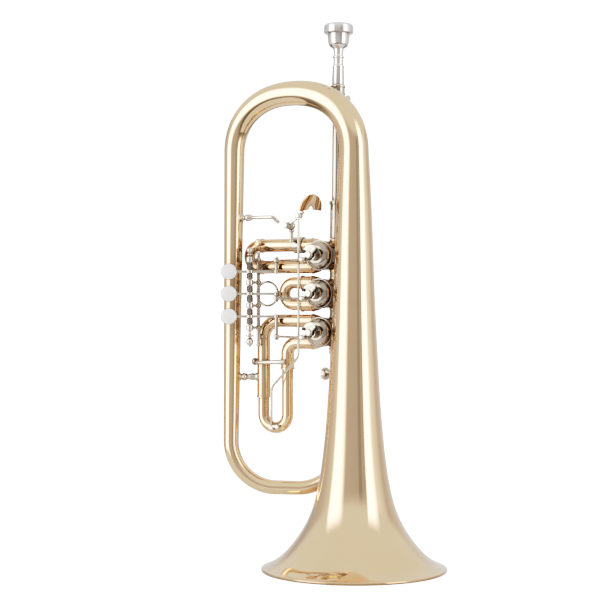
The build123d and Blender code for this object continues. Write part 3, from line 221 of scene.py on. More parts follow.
class Shape:
    """A mesh under construction, made of closed skins."""

    def __init__(self):
        self.points = []
        self.faces = []

    def skin(self, rings):
        """Quads between neighbouring rings, and from the last ring back to the first."""
        base = len(self.points)
        count = len(rings[0])
        for ring in rings:
            self.points.extend(ring)
        for a in range(len(rings)):
            b = (a + 1) % len(rings)
            for i in range(count):
                j = (i + 1) % count
                self.faces.append((base + a * count + i, base + a * count + j,
                                   base + b * count + j, base + b * count + i))
        return self

    def lathe(self, origin, axis, outline, ease=0.25, count=64):
        """A closed (radius, height) outline turned about an axis."""
        axis = Vector(axis).normalized()
        u = axis.orthogonal().normalized()
        v = axis.cross(u)
        origin = Vector(origin)
        turns = [2 * math.pi * i / count for i in range(count)]
        rings = []
        for r, h in (eased(outline, ease) if ease else outline):
            centre = origin + axis * h
            rings.append([centre + (u * math.cos(t) + v * math.sin(t)) * r for t in turns])
        return self.skin(rings)

    def sweep(self, path, section, up=None, wall=None, ease=0.2, ends=(None, None)):
        """A section carried along a path: a tube if it has a wall, else a solid bar."""
        stations = [Vector(point) for point in path]
        lengths = [0.0]
        for a, b in zip(stations, stations[1:]):
            lengths.append(lengths[-1] + (b - a).length)
        total = lengths[-1]
        tangents = []
        for index in range(len(stations)):
            ahead = stations[min(index + 1, len(stations) - 1)]
            behind = stations[max(index - 1, 0)]
            tangents.append((ahead - behind).normalized())
        tangents[0] = Vector(ends[0]).normalized() if ends[0] else tangents[0]
        tangents[-1] = Vector(ends[1]).normalized() if ends[1] else tangents[-1]
        side = tangents[0].cross(up) if up else tangents[0].orthogonal()
        frames = []
        for tangent in tangents:
            side = tangent.cross(up) if up else side
            side = (side - tangent * side.dot(tangent)).normalized()
            frames.append((side, side.cross(tangent)))

        def ring(index, inset, shift=0.0):
            across, along_up = frames[index]
            centre = stations[index] + tangents[index] * shift
            return [centre + across * x + along_up * y
                    for x, y in section(inset, lengths[index] / total)]

        last = len(stations) - 1
        if wall:
            outer = [ring(index, 0.0) for index in range(len(stations))]
            inner = [ring(index, wall) for index in range(len(stations))]
            return self.skin(outer + inner[::-1])
        rings = [[stations[0]] * len(section(0, 0))]
        rings += [ring(0, ease), ring(0, ease * 0.3, ease * 0.3), ring(0, 0, ease)]
        rings += [ring(index, 0) for index in range(1, last)]
        rings += [ring(last, 0, -ease), ring(last, ease * 0.3, -ease * 0.3), ring(last, ease)]
        rings += [[stations[-1]] * len(rings[0])]
        return self.skin(rings)

    def ball(self, centre, radius, count=32):
        return self.lathe(centre, UP, arc_2d((0, 0), radius, -90, 90, count // 2), ease=0,
                          count=count)

    def finish(self, name, body, slot, *nodes):
        """The mesh as a piece that rides on a body and stands for CAD nodes."""
        mesh = bpy.data.meshes.new(name)
        mesh.from_pydata([tuple(point * MM) for point in self.points], [], self.faces)
        work = bmesh.new()
        work.from_mesh(mesh)
        bmesh.ops.remove_doubles(work, verts=work.verts, dist=2e-7)
        bmesh.ops.dissolve_degenerate(work, edges=work.edges, dist=1e-8)
        bmesh.ops.recalc_face_normals(work, faces=work.faces)
        work.to_mesh(mesh)
        work.free()
        mesh.shade_smooth()
        mesh.set_sharp_from_angle(angle=math.radians(35))
        piece = bpy.data.objects.new(name, mesh)
        bpy.context.scene.collection.objects.link(piece)
        mesh.materials.append(MATERIALS[slot])
        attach(piece, body)
        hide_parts(*nodes)
        return piece


# ---- Materials ----
class Graph:
    """The shader nodes of a material or a world; an input takes a value or another output."""

    def __init__(self, owner):
        owner.use_nodes = True
        self.nodes = owner.node_tree.nodes
        self.links = owner.node_tree.links

    def feed(self, socket, value):
        if isinstance(value, bpy.types.NodeSocket):
            self.links.new(value, socket)
        else:
            socket.default_value = value

    def set_inputs(self, node, **inputs):
        for name, value in inputs.items():
            self.feed(node.inputs[name.replace("_", " ")], value)
        return node

    def add(self, kind, settings=(), **inputs):
        node = self.nodes.new("ShaderNode" + kind)
        for name, value in settings:
            setattr(node, name, value)
        return self.set_inputs(node, **inputs)

    def math(self, operation, *values):
        node = self.add("Math", [("operation", operation)])
        for socket, value in zip(node.inputs, values):
            self.feed(socket, value)
        return node.outputs["Value"]

    def noise(self, scale, detail=3.0, stretch=(1, 1, 1)):
        """Cloudy noise that is fixed to the object."""
        place = self.add("TexCoord").outputs["Object"]
        mapping = self.add("Mapping", Vector=place, Scale=stretch)
        noise = self.add("TexNoise", Vector=mapping.outputs["Vector"], Scale=scale, Detail=detail)
        return noise.outputs["Fac"]

    def spread(self, value, low_out, high_out, low_in=0.3, high_in=0.7):
        span = self.add("MapRange", Value=value, From_Min=low_in, From_Max=high_in,
                        To_Min=low_out, To_Max=high_out)
        return span.outputs["Result"]

    def blend(self, share, color_a, color_b):
        mix = self.add("Mix", [("data_type", "RGBA")], Factor=share, A=(*color_a, 1),
                       B=(*color_b, 1))
        return mix.outputs["Result"]

    def ramp(self, share, stops):
        """Colours placed along a value from 0 to 1."""
        node = self.add("ValToRGB", Fac=share)
        elements = node.color_ramp.elements
        while len(elements) < len(stops):
            elements.new(0.5)
        for element, (place, color) in zip(elements, stops):
            element.position = place
            element.color = (*color, 1)
        return node.outputs["Color"]

    def bumps(self, height, strength, distance):
        node = self.add("Bump", Strength=strength, Distance=distance, Height=height)
        return node.outputs["Normal"]

    def step_up(self, value, start, end):
        """0 below start, 1 above end, smooth between them."""
        span = self.add("MapRange", [("interpolation_type", "SMOOTHSTEP")], Value=value,
                        From_Min=start, From_Max=end)
        return span.outputs["Result"]

    def window(self, value, opening, closing):
        """1 between two smooth edges, each given as (start, end)."""
        closed = self.step_up(value, *closing)
        return self.math("MULTIPLY", self.step_up(value, *opening),
                         self.math("SUBTRACT", 1.0, closed))


def new_material(name):
    material = bpy.data.materials.new(name)
    graph = Graph(material)
    return material, graph, graph.nodes["Principled BSDF"]


# Reach of the ambient occlusion that paints shade into crevices.
CREVICE_SHADE_REACH = 0.024
LINE_DEPTH = 0.00004
GRAIN_DEPTH = 0.00005


def paint_crevice_shade(graph, color, shade_and_tarnish):
    """Painted shade with a tarnish tint: the colour multiplied down where other parts stand close."""
    near = graph.add("AmbientOcclusion", [("samples", 8)], Distance=CREVICE_SHADE_REACH)
    tint = graph.spread(near.outputs["AO"], 0.0, 1.0, 0.40, 0.98)
    mix = graph.add("Mix", [("data_type", "RGBA"), ("blend_type", "MULTIPLY")], Factor=1.0,
                    A=color, B=graph.blend(tint, shade_and_tarnish, (1, 1, 1)))
    return mix.outputs["Result"]


def polished_metal(name, color, worn, rough, lacquer, scratch=0.02, grain=(1, 1, 0.06),
                   shade_and_tarnish=(0.42, 0.31, 0.20)):
    """Bright metal: slow colour change, crevices darkened by painted shade with a tarnish tint, and faint
    polishing lines.
    """
    material, graph, shader = new_material(name)
    base = graph.blend(graph.spread(graph.noise(26.0), 0, 1), color, worn)
    lines = graph.noise(5200.0, 2.0, grain)
    # The base colour carries painted shade in crevices where parts stand close.
    graph.set_inputs(
        shader, Base_Color=paint_crevice_shade(graph, base, shade_and_tarnish), Metallic=1.0,
        Roughness=graph.spread(graph.noise(420.0, 4.0), *rough),
        Normal=graph.bumps(lines, scratch, LINE_DEPTH),
        Coat_Weight=lacquer, Coat_Roughness=0.03, Coat_IOR=1.5)
    return material


def lacquered_brass():
    return polished_metal("lacquered_brass", (0.935, 0.628, 0.360), (0.90, 0.585, 0.320),
                          (0.05, 0.09), 0.5)


def nickel_silver():
    # Nickel's crevices get a deep painted shade with a tarnish tint.
    return polished_metal("nickel_silver", (0.76, 0.68, 0.565), (0.70, 0.62, 0.50),
                          (0.04, 0.08), 0.1, shade_and_tarnish=(0.16, 0.10, 0.05))


def silver_plate():
    return polished_metal("silver_plate", (0.93, 0.885, 0.85), (0.89, 0.84, 0.80),
                          (0.04, 0.08), 0.0)


def rotor_metal():
    return polished_metal("rotor_metal", (0.72, 0.58, 0.36), (0.66, 0.52, 0.31),
                          (0.16, 0.26), 0.0, scratch=0.12, grain=(1, 12, 1))


def spring_steel():
    return polished_metal("spring_steel", (0.30, 0.26, 0.23), (0.22, 0.185, 0.16),
                          (0.16, 0.28), 0.0, scratch=0.08, grain=(1, 1, 1))


def pearl():
    """Mother-of-pearl under gloss: milky bands with a slight sheen of pink and green."""
    material, graph, shader = new_material("pearl")
    cloud = graph.noise(170.0, 5.0, (1, 1, 2.2))
    milk = graph.ramp(cloud, [(0.30, (0.92, 0.90, 0.86)), (0.46, (0.98, 0.96, 0.92)),
                              (0.56, (0.96, 0.97, 0.94)), (0.70, (0.99, 0.95, 0.94))])
    graph.set_inputs(
        shader, Base_Color=milk, Roughness=graph.spread(cloud, 0.12, 0.24), Coat_Weight=0.8,
        Coat_Roughness=0.05, Subsurface_Weight=0.15, Subsurface_Radius=(0.002, 0.002, 0.002),
        Subsurface_Scale=1.0)
    return material


def bumper_rubber():
    """Matt black neoprene with a fine open grain."""
    material, graph, shader = new_material("bumper_rubber")
    grain = graph.noise(1400.0, 5.0)
    graph.set_inputs(
        shader, Base_Color=graph.blend(grain, (0.012, 0.011, 0.010), (0.040, 0.036, 0.034)),
        Roughness=graph.spread(grain, 0.65, 0.9), Normal=graph.bumps(grain, 0.4, GRAIN_DEPTH))
    return material


MATERIALS = {make.__name__: make() for make in (
    lacquered_brass, nickel_silver, silver_plate, rotor_metal, spring_steel, pearl, bumper_rubber)}


# ---- Bell and loop ----
TAIL_R = 12.9
BELL_CURVE = [(78.4, 3.0), (68.2, 8.2), (55.1, 20.3), (44.8, 34.5), (37.5, 49.0), (31.5, 70.0),
              (27.6, 94.0), (24.6, 122.0), (21.2, 172.0), (17.9, 240.0), (15.7, 302.0),
              (TAIL_R, BELL_TOP_Z)]
BEAD_R = 1.6
BEAD_CENTRE = Vector((78.4, 1.4))


def build_bell():
    outer = smooth_curve(BELL_CURVE, 170)
    inner = []
    for index, point in enumerate(outer):
        ahead = outer[min(index + 1, len(outer) - 1)]
        behind = outer[max(index - 1, 0)]
        run = (ahead - behind).normalized()
        moved = point - Vector((run.y, -run.x)) * WALL
        if (moved - BEAD_CENTRE).length > BEAD_R * 1.02:
            inner.append(Vector((moved.x, min(moved.y, BELL_TOP_Z))))
    bead = [Vector((p.x, max(p.y, 0.02))) for p in arc_2d(BEAD_CENTRE, BEAD_R, 84, -205, 40)]
    outline = outer + inner[::-1] + bead[::-1]
    Shape().lathe((0, 0, 0), UP, outline, ease=0, count=192).finish(
        "bell_spun", "frame", "lacquered_brass",
        "bell_flare", "bell_throat", "bell_tail", "bell_rim_wire")


LEG_TOP = Vector((-118.9, 0, 362))
LEG_FOOT = Vector((-122.2, 0, 107))
LEG_TOP_R = 9.2
LEG_FOOT_R = 6.95
TOP_BOW_RISE = 52.6
TOP_BOW_POWER = 2.2
BOTTOM_BEND_R = 41.0
DOWN_LOW_Z = 128.5
DOWN_FOOT = Vector((-24.7, 28.8, LEG_FOOT.z))


def bow_point(share):
    """Centre line of the top bow, a superellipse from the bell's tail to the left leg."""
    turn = math.pi * share
    half = -LEG_TOP.x / 2
    across = math.copysign(abs(math.cos(turn)) ** (2 / TOP_BOW_POWER), math.cos(turn))
    rise = abs(math.sin(turn)) ** (2 / TOP_BOW_POWER)
    spring = BELL_TOP_Z + (LEG_TOP.z - BELL_TOP_Z) * share
    return Vector((half * across - half, 0, spring + TOP_BOW_RISE * rise))


def build_top_bow():
    path = [bow_point(index / 120) for index in range(121)]
    Shape().sweep(path, round_section((TAIL_R, LEG_TOP_R), 96), wall=WALL, ends=(UP, -UP)).finish(
        "top_bow_tube", "frame", "lacquered_brass", "top_bow")


def build_left_leg():
    path = [LEG_TOP.lerp(LEG_FOOT, share / 20) for share in range(21)]
    Shape().sweep(path, round_section((LEG_TOP_R, LEG_FOOT_R), 96), wall=WALL).finish(
        "left_leg_tube", "frame", "lacquered_brass", "left_leg")


def build_bottom_bow():
    below = -UP * BOTTOM_BEND_R
    path = rounded_path([LEG_FOOT, LEG_FOOT + below, DOWN_FOOT + below, DOWN_FOOT],
                        BOTTOM_BEND_R - 0.01, 2.5)
    Shape().sweep(path, round_section((LEG_FOOT_R, TUBE_R), 72), wall=WALL,
                  ends=(-UP, UP)).finish(
        "bottom_bow_tube", "frame", "lacquered_brass", "bottom_bow")


DOWN_TOP_Z = VALVES[2].z - KNUCKLE_REACH


def build_down_tube():
    path = rounded_path([(MAIN_X, VALVE_Y, DOWN_TOP_Z), (MAIN_X, VALVE_Y, DOWN_TOP_Z - 11),
                         (DOWN_FOOT.x, DOWN_FOOT.y, DOWN_LOW_Z), DOWN_FOOT], 44.0)
    Shape().sweep(path, round_section(TUBE_R, 64), wall=WALL).finish(
        "down_tube_swept", "frame", "lacquered_brass", "down_tube")


def ferrule(shape, foot, axis, length, inner, outer):
    """A turned ferrule: a raised bead at each end of a plain band."""
    lip = outer + 0.35
    return shape.lathe(foot, axis, [
        (inner, 0), (lip, 0), (lip, 1.1), (outer, 1.4), (outer, length - 1.4),
        (lip, length - 1.1), (lip, length), (inner, length)], ease=0.3)


def build_ferrules():
    shape = Shape()
    ferrule(shape, DOWN_FOOT, UP, 5.6, TUBE_R + 0.01, TUBE_R + 0.5)
    ferrule(shape, (MAIN_X, VALVE_Y, DOWN_TOP_Z - 4), UP, 4.6, TUBE_R + 0.01, TUBE_R + 0.5)
    shape.finish("ferrules_turned", "frame", "lacquered_brass", "tube_ferrules")


# ---- Leadpipe and mouthpiece ----
PIPE_R = 4.7
PIPE_LENGTH = (PIPE_TOP - PIPE_FOOT).length
SLEEVE_LENGTH = 33.0
MOUTH_HEIGHT = (high("mouthpiece").z - 11.3 * PIPE_LEAN - PIPE_TOP.z) / PIPE_OUT.z


def build_leadpipe():
    Shape().lathe(PIPE_FOOT, PIPE_OUT, [
        (PIPE_R + 0.05, 0.45), (TUBE_R, 0.45), (TUBE_R, SLEEVE_LENGTH - 3),
        (TUBE_R + 0.9, SLEEVE_LENGTH - 2.8), (TUBE_R + 0.9, SLEEVE_LENGTH),
        (PIPE_R + 0.05, SLEEVE_LENGTH)]).finish(
            "leadpipe_sleeve_turned", "frame", "nickel_silver", "leadpipe_sleeve")
    Shape().lathe(PIPE_FOOT, PIPE_OUT, [
        (PIPE_R - WALL, 2), (PIPE_R, 2), (PIPE_R, PIPE_LENGTH - 4),
        (PIPE_R - WALL, PIPE_LENGTH - 4)]).finish(
            "leadpipe_drawn", "leadpipe_slide", "nickel_silver", "leadpipe")
    at = PIPE_LENGTH
    Shape().lathe(PIPE_FOOT, PIPE_OUT, [
        (PIPE_R + 0.02, at - 13), (5.5, at - 13), (5.8, at - 9.4), (6.6, at - 8.6),
        (6.6, at - 7.2), (6.1, at - 6.6), (6.1, at - 2.8), (6.6, at - 2.2), (6.6, at - 0.8),
        (6.1, at), (5.0, at), (4.75, at - 4), (PIPE_R + 0.02, at - 4)], ease=0.4).finish(
            "receiver_turned", "leadpipe_slide", "nickel_silver", "mouthpiece_receiver")


def build_mouthpiece():
    top = MOUTH_HEIGHT
    stem = [(2.1, -18), (3.9, -18), (3.94, -3.6), (4.7, -3.6), (4.95, 0), (5.4, 0.4), (5.4, 7),
            (5.1, 15), (5.3, 15.6), (5.3, 16.8), (4.5, 17.6), (4.4, 22), (4.5, 23.4),
            (5.1, 24.0), (5.1, 25.2), (4.4, 25.9), (4.3, 29)]
    cup = smooth_curve([(4.8, 32.0), (7.4, 33.6), (9.2, 37.5), (9.8, 45.0)], 20,
                       start=(0.6, 0.8), end=(0, 1))
    rim = [(12.7, 45.3), (13.1, 46.4), (13.0, 51.2)]
    lip = smooth_curve([(13.0, 51.2), (11.2, top), (8.9, top - 1.5)], 14,
                       start=(0, 1), end=(-0.7, -0.7))
    bowl = smooth_curve([(8.9, top - 1.5), (7.6, 45), (4.2, 36), (1.9, 32)], 24,
                        start=(-0.1, -1), end=(-0.2, -1))
    outline = stem + cup + rim + lip[1:] + bowl[1:] + [(1.9, 24)]
    Shape().lathe(PIPE_TOP, PIPE_OUT, outline, ease=0.5, count=72).finish(
        "mouthpiece_turned", "mouthpiece_body", "silver_plate", "mouthpiece")


GUIDE_SHARE = 0.30
CLAMP_SCREW = Vector((12.5, -3.0, 5.0))


def build_receiver_brace():
    """The guide that joins the leadpipe to the top bow, with its clamp screw."""
    bow = bow_point(GUIDE_SHARE)
    ring = PIPE_FOOT + PIPE_OUT * ((bow.z - PIPE_FOOT.z) / PIPE_OUT.z)
    shape = Shape()
    shape.lathe(ring, PIPE_OUT, [(PIPE_R + 0.05, -3), (5.7, -3), (6.0, -2.2), (6.0, 2.2),
                                 (5.7, 3), (PIPE_R + 0.05, 3)], ease=0.4)
    run = ring - bow
    reach = run.length
    shape.lathe(bow, run, [(0, 9), (4.0, 11.2), (3.4, 12.4), (1.9, 13.2), (1.9, reach - 5.2),
                           (0, reach - 5.2)], ease=0.5, count=40)
    reach = CLAMP_SCREW.length
    shape.lathe(ring, CLAMP_SCREW, [(0, 5.5), (1.5, 5.5), (1.5, reach - 1.8), (2.6, reach - 1.6),
                                    (2.6, reach - 0.2), (1.9, reach), (0, reach)],
                ease=0.3, count=32)
    shape.finish("guide_brace", "frame", "nickel_silver", "receiver_brace")


# ---- Rotary valves ----
ELBOW_R = 6.4
ELBOW_START = PORT_OFFSET - ELBOW_R * (1 - math.cos(math.radians(45)))


def knuckle_path(valve, side, rise, sideways):
    """Elbow from the casing wall at 45 degrees into a vertical or horizontal tube."""
    out = Vector((side, 0, rise)).normalized()
    start = Vector((side, 0, rise)) * ELBOW_START
    reach = ELBOW_START + ELBOW_R * math.sin(math.radians(45))
    leave = Vector((side, 0, 0)) if sideways else Vector((0, 0, rise))
    bend = Vector((side * PORT_OFFSET, 0, rise * PORT_OFFSET))
    bend_end = Vector((side * reach, 0, bend.z)) if sideways else Vector((bend.x, 0, rise * reach))
    centre = start + (leave - out * leave.dot(out)).normalized() * ELBOW_R
    arm = start - centre
    axis = arm.cross(bend_end - centre)
    path = [start - out * 1.2]
    for step in range(13):
        path.append(centre + Quaternion(axis, math.radians(45) * step / 12) @ arm)
    path.append(bend + leave * (KNUCKLE_REACH - PORT_OFFSET))
    return [valve + point for point in path], leave


PORTS = [(1, 1, False), (1, -1, False), (-1, 1, True), (-1, -1, True)]


def build_valve(index):
    number = index + 1
    valve = VALVES[index]
    casing = Shape()
    half = CASING_HALF
    casing.lathe(valve, FRONT, [
        (11.0, -half), (CASING_R + 0.25, -half), (CASING_R + 0.25, 2.2 - half),
        (CASING_R, 2.5 - half), (CASING_R, half - 2.5), (CASING_R + 0.25, half - 2.2),
        (CASING_R + 0.25, half), (11.0, half)], ease=0.3, count=96)
    casing.finish(f"valve_{number}_casing_turned", "frame", "nickel_silver",
                  f"valve_{number}_casing")
    elbows = Shape()
    for side, rise, sideways in PORTS:
        path, leave = knuckle_path(valve, side, rise, sideways)
        elbows.sweep(path, round_section(TUBE_R, 48), wall=TUBE_R - BORE_R, ends=(None, leave))
        elbows.lathe(path[-1] - leave * 2.6, leave, [
            (TUBE_R - 0.1, 0), (TUBE_R + 0.45, 0.2), (TUBE_R + 0.45, 2.4), (TUBE_R - 0.1, 2.6)],
            ease=0.3, count=56)
    elbows.finish(f"valve_{number}_elbows", "frame", "lacquered_brass",
                  f"valve_{number}_knuckles")
    build_stop_arm(number, valve)


def on_circle(radius, angle):
    """A point on a circle that faces the front; the angle is in degrees."""
    turn = math.radians(angle)
    return Vector((radius * math.cos(turn), 0, radius * math.sin(turn)))


def add_front_cap(caps, valve):
    """Heights run from the valve's centre, and front is where they meet the bell's plane."""
    front = VALVE_Y
    dome = smooth_curve([(12.3, front + 1.1), (10.4, front + 4.6), (5.2, front + 6.6)], 22,
                        start=(-0.1, 1), end=(-1, 0.05))
    neck = [(4.6, front + 7.4), (4.2, front + 8.6), (4.2, front + 14), (4.9, front + 14.6),
            (4.9, front + 16.6), (2.05, front + 16.6), (2.05, 10.1)]
    outline = [(10.95, 10.1), (10.95, 14.02), (13.3, 14.02), (13.5, front - 0.2),
               (13.35, front + 0.7), (12.9, front + 1.0)] + dome + neck
    caps.lathe(valve, FRONT, outline, ease=0.25, count=96)
    crescent = [valve + FRONT * (front + 15.2) + on_circle(6.5, angle)
                for angle in range(12, 169, 6)]
    caps.sweep(crescent, bar_section(4.4, 1.2, 0.4), up=FRONT, ease=0.3)


def build_front_caps():
    caps = Shape()
    for valve in VALVES:
        add_front_cap(caps, valve)
    caps.finish("front_caps_turned", "frame", "nickel_silver", "front_caps")


STOP_PLATE = VALVE_Y + 18.0
STOP_R = 5.9


def build_stop_arm(number, valve):
    hub = valve + FRONT * STOP_PLATE
    diagonal = Vector((1, 0, 1)).normalized()
    arm = Shape()
    arm.lathe(hub, FRONT, [(0, 0), (3.3, 0), (3.3, 2.0), (2.9, 2.2), (2.9, 3.7), (2.4, 3.9),
                           (0, 3.9)], ease=0.3, count=40)
    bar = hub + FRONT * 1.0
    arm.sweep([bar - diagonal * (STOP_R + 2.0), bar + diagonal * 8.4],
              bar_section(3.4, 2.0, 0.5), up=FRONT, ease=0.7)
    arm.lathe(hub - diagonal * STOP_R, FRONT, [(0, 0), (2.1, 0), (2.1, 2.0), (1.2, 2.1),
                                               (1.2, 3.7), (0, 3.7)], ease=0.2, count=32)
    arm.lathe(hub + diagonal * 7.4, FRONT, [(0, -1.8), (1.0, -1.8), (1.1, 0), (1.1, 2.2),
                                            (0, 2.2)], ease=0.2, count=24)
    arm.finish(f"valve_{number}_stop", f"rotor_{number}", "nickel_silver",
               f"valve_{number}_stop_arm")


def build_rear_caps():
    caps = Shape()
    for valve in VALVES:
        caps.lathe(valve, -FRONT, [
            (0, 13.9), (2.05, 13.8), (2.05, 10.1), (10.95, 10.1), (10.95, 14.02), (13.3, 14.02),
            (13.5, 14.8), (13.2, 15.6), (11.6, 16.4), (9, 17.4), (6, 18.2), (3, 18.5), (0, 18.6)],
            ease=0.3, count=96)
    caps.finish("rear_caps_turned", "frame", "nickel_silver", "rear_caps")


def build_stop_bumpers():
    bumpers = Shape()
    for valve in VALVES:
        for angle in (24, 156):
            foot = valve + FRONT * (VALVE_Y + 15.8) + on_circle(7.4, angle)
            bumpers.lathe(foot, FRONT, [(0, 0), (1.4, 0), (1.4, 1.8), (0, 1.8)], ease=0.3,
                          count=24)
    bumpers.finish("stop_bumpers_cut", "frame", "bumper_rubber", "stop_bumpers")


def build_main_line():
    tubes = Shape()
    for upper, lower in ((0, 1), (1, 2)):
        foot = Vector((MAIN_X, VALVE_Y, VALVES[lower].z + KNUCKLE_REACH))
        gap = VALVES[upper].z - KNUCKLE_REACH - foot.z
        tubes.sweep([foot, foot + UP * gap], round_section(TUBE_R, 48), wall=TUBE_R - BORE_R)
    tubes.finish("main_line_drawn", "frame", "nickel_silver", "main_line_tubes")


# ---- Slides ----
def slotted_nut(shape, foot, out, slot_turn):
    """Round nut with a neck; its screwdriver slot is a dark groove between two half heads."""
    out = Vector(out).normalized()
    shape.lathe(foot, out, [(0, 0), (1.7, 0), (1.7, 1.2), (3.1, 1.8), (3.5, 3.0), (3.5, 4.2),
                            (0, 4.2)], ease=0.3, count=40)
    across = Quaternion(out, math.radians(slot_turn)) @ out.orthogonal().normalized()
    along = out.cross(across)
    for sign in (1, -1):
        rings = []
        for size, height in ((3.45, 4.0), (3.45, 4.6), (3.2, 5.0), (2.8, 5.25)):
            ring = []
            limit = math.acos(0.45 / size)
            for step in range(17):
                angle = -limit + 2 * limit * step / 16
                ring.append(foot + out * height + across * sign * size * math.cos(angle)
                            + along * size * math.sin(angle))
            rings.append(ring)
        centre = foot + out * 5.4 + across * sign * 1.2
        base = foot + out * 4.0 + across * sign * 1.2
        shape.skin([[base] * 17] + rings + [[centre] * 17])
    return shape


def horizontal_sleeves(shape, valve, end_x, collar):
    for rise in (1, -1):
        z = valve.z + rise * PORT_OFFSET
        start = Vector((PORT_X, VALVE_Y, z))
        length = PORT_X - end_x
        lip = TUBE_R + 0.7
        shape.lathe(start, LEFT, [
            (SLEEVE_BORE_R, 0), (TUBE_R, 0), (TUBE_R, length - collar), (lip, length - collar + 0.1),
            (lip, length), (SLEEVE_BORE_R, length)], ease=0.3, count=56)
    return shape


def slide_bow(shape, valve, inside_x, spring_x):
    centre = Vector((spring_x, VALVE_Y, valve.z))
    bend = half_round(centre, UP, LEFT, PORT_OFFSET, 40)
    path = [Vector((inside_x, VALVE_Y, valve.z + PORT_OFFSET)), *bend,
            Vector((inside_x, VALVE_Y, valve.z - PORT_OFFSET))]
    return shape.sweep(path, round_section(SLIDE_R, 56), wall=SLIDE_R - BORE_R)


SLIDE_1_INSIDE_X = -58.0
SLIDE_1_END_X = -99.4
SLIDE_1_SPRING_X = -101.6
NUT_TILT = math.radians(14)


def build_slide_1():
    sleeves = horizontal_sleeves(Shape(), VALVES[0], SLIDE_1_END_X, 2.4)
    out = Vector((0, -math.cos(NUT_TILT), math.sin(NUT_TILT)))
    foot = Vector((SLIDE_1_END_X + 1.9, VALVE_Y, VALVES[0].z + PORT_OFFSET)) + out * (TUBE_R + 0.4)
    slotted_nut(sleeves, foot, out, 50)
    sleeves.finish("slide_1_sleeves_drawn", "frame", "lacquered_brass", "slide_1_sleeves")
    slide_bow(Shape(), VALVES[0], SLIDE_1_INSIDE_X, SLIDE_1_SPRING_X).finish(
        "slide_1_bent", "slide_1", "lacquered_brass", "slide_1_bow")


SLIDE_2_INSIDE_X = -50.0
SLIDE_2_END_X = -58.0
SLIDE_2_SPRING_X = -66.0
RING_R = 10.6
RING_WIRE_R = 1.1


def build_slide_2():
    horizontal_sleeves(Shape(), VALVES[1], SLIDE_2_END_X, 1.6).finish(
        "slide_2_sleeves_drawn", "frame", "lacquered_brass", "slide_2_sleeves")
    slide_bow(Shape(), VALVES[1], SLIDE_2_INSIDE_X, SLIDE_2_SPRING_X).finish(
        "slide_2_bent", "slide_2", "lacquered_brass", "slide_2_bow")
    ring_x = SLIDE_2_SPRING_X - PORT_OFFSET - SLIDE_R - RING_R - RING_WIRE_R - 0.6
    centre = Vector((ring_x, VALVE_Y, VALVES[1].z))
    ring = Shape()
    outline = arc_2d((RING_R, 0), RING_WIRE_R, 0, 345, 23)
    ring.lathe(centre, FRONT, outline, ease=0, count=80)
    ring.lathe(centre + Vector((RING_R + 2.4, 0, 0)), LEFT, [
        (0, 0), (2.6, 0.2), (2.0, 1.4), (1.5, 2.4), (0, 2.6)], ease=0.3, count=32)
    ring.finish("pull_ring", "slide_2", "nickel_silver", "slide_2_ring")


S3_LEFT_X = -96.9
S3_RIGHT_X = -72.6
S3_LEFT_TOP = 178.0
S3_LEFT_END = 145.5
S3_RIGHT_TOP = 181.0
S3_RIGHT_END = 171.0
S3_SPRING_Z = 131.0
S3_BOW_R = (S3_RIGHT_X - S3_LEFT_X) / 2
S3_MIDDLE_X = (S3_LEFT_X + S3_RIGHT_X) / 2
S3_BRACE_Z = 177.5


def build_slide_3_branches():
    branches = Shape()
    for leg_x, rise, bend, end_z in ((S3_LEFT_X, 1, 16.0, S3_LEFT_TOP),
                                     (S3_RIGHT_X, -1, 10.0, S3_RIGHT_TOP)):
        port_z = VALVES[2].z + rise * PORT_OFFSET
        path = rounded_path([(PORT_X, VALVE_Y, port_z), (leg_x, VALVE_Y, port_z),
                             (leg_x, VALVE_Y, end_z)], bend)
        branches.sweep(path, round_section(TUBE_R - 0.1, 56), wall=1.2)
    branches.finish("slide_3_branches_bent", "frame", "lacquered_brass", "slide_3_branches")


def build_slide_3():
    sleeves = Shape()
    for x, top, end in ((S3_LEFT_X, S3_LEFT_TOP, S3_LEFT_END),
                        (S3_RIGHT_X, S3_RIGHT_TOP, S3_RIGHT_END)):
        length = top - end
        sleeves.lathe((x, VALVE_Y, end), UP, [
            (SLEEVE_BORE_R, 0), (TUBE_R + 0.6, 0), (TUBE_R + 0.6, 1.8), (TUBE_R + 0.1, 2.0),
            (TUBE_R + 0.1, length - 1.6), (TUBE_R + 0.45, length - 1.4), (TUBE_R + 0.45, length),
            (SLEEVE_BORE_R, length)], ease=0.3, count=56)
    sleeves.finish("slide_3_sleeves_drawn", "frame", "lacquered_brass", "slide_3_sleeves")
    bend = half_round(Vector((S3_MIDDLE_X, VALVE_Y, S3_SPRING_Z)), LEFT, -UP, S3_BOW_R, 48)
    path = [Vector((S3_LEFT_X, VALVE_Y, S3_LEFT_TOP - 1)), *bend,
            Vector((S3_RIGHT_X, VALVE_Y, S3_RIGHT_TOP - 1))]
    Shape().sweep(path, round_section(SLIDE_R, 56), wall=SLIDE_R - BORE_R).finish(
        "slide_3_bent", "slide_3", "lacquered_brass", "slide_3_bow")


def build_slide_3_brace():
    brace = Shape()
    start = Vector((S3_LEFT_X - 4.5, VALVE_Y - TUBE_R - 1.3, S3_BRACE_Z - 0.8))
    end = Vector((S3_RIGHT_X + 1.5, VALVE_Y - TUBE_R - 1.5, S3_BRACE_Z + 0.3))
    brace.sweep([start, end], round_section((1.2, 2.5), 32), ease=0.4)
    slotted_nut(brace, Vector((S3_LEFT_X - TUBE_R + 0.3, VALVE_Y, S3_BRACE_Z)), LEFT, 20)
    brace.finish("slide_3_brace", "frame", "nickel_silver", "slide_3_cross_brace")


# ---- Lever rack ----
RAIL = Vector((-96.5, 4.0, 0))
POST_Z = [268.0, 248.0, 227.6, 208.0]
POST_HALF = 2.6
HINGE_R = 1.5
ROD_LOW_Z = 201.5
ROD_TOP_Z = 272.0


def at_height(point, z):
    return Vector((point[0], point[1], z))


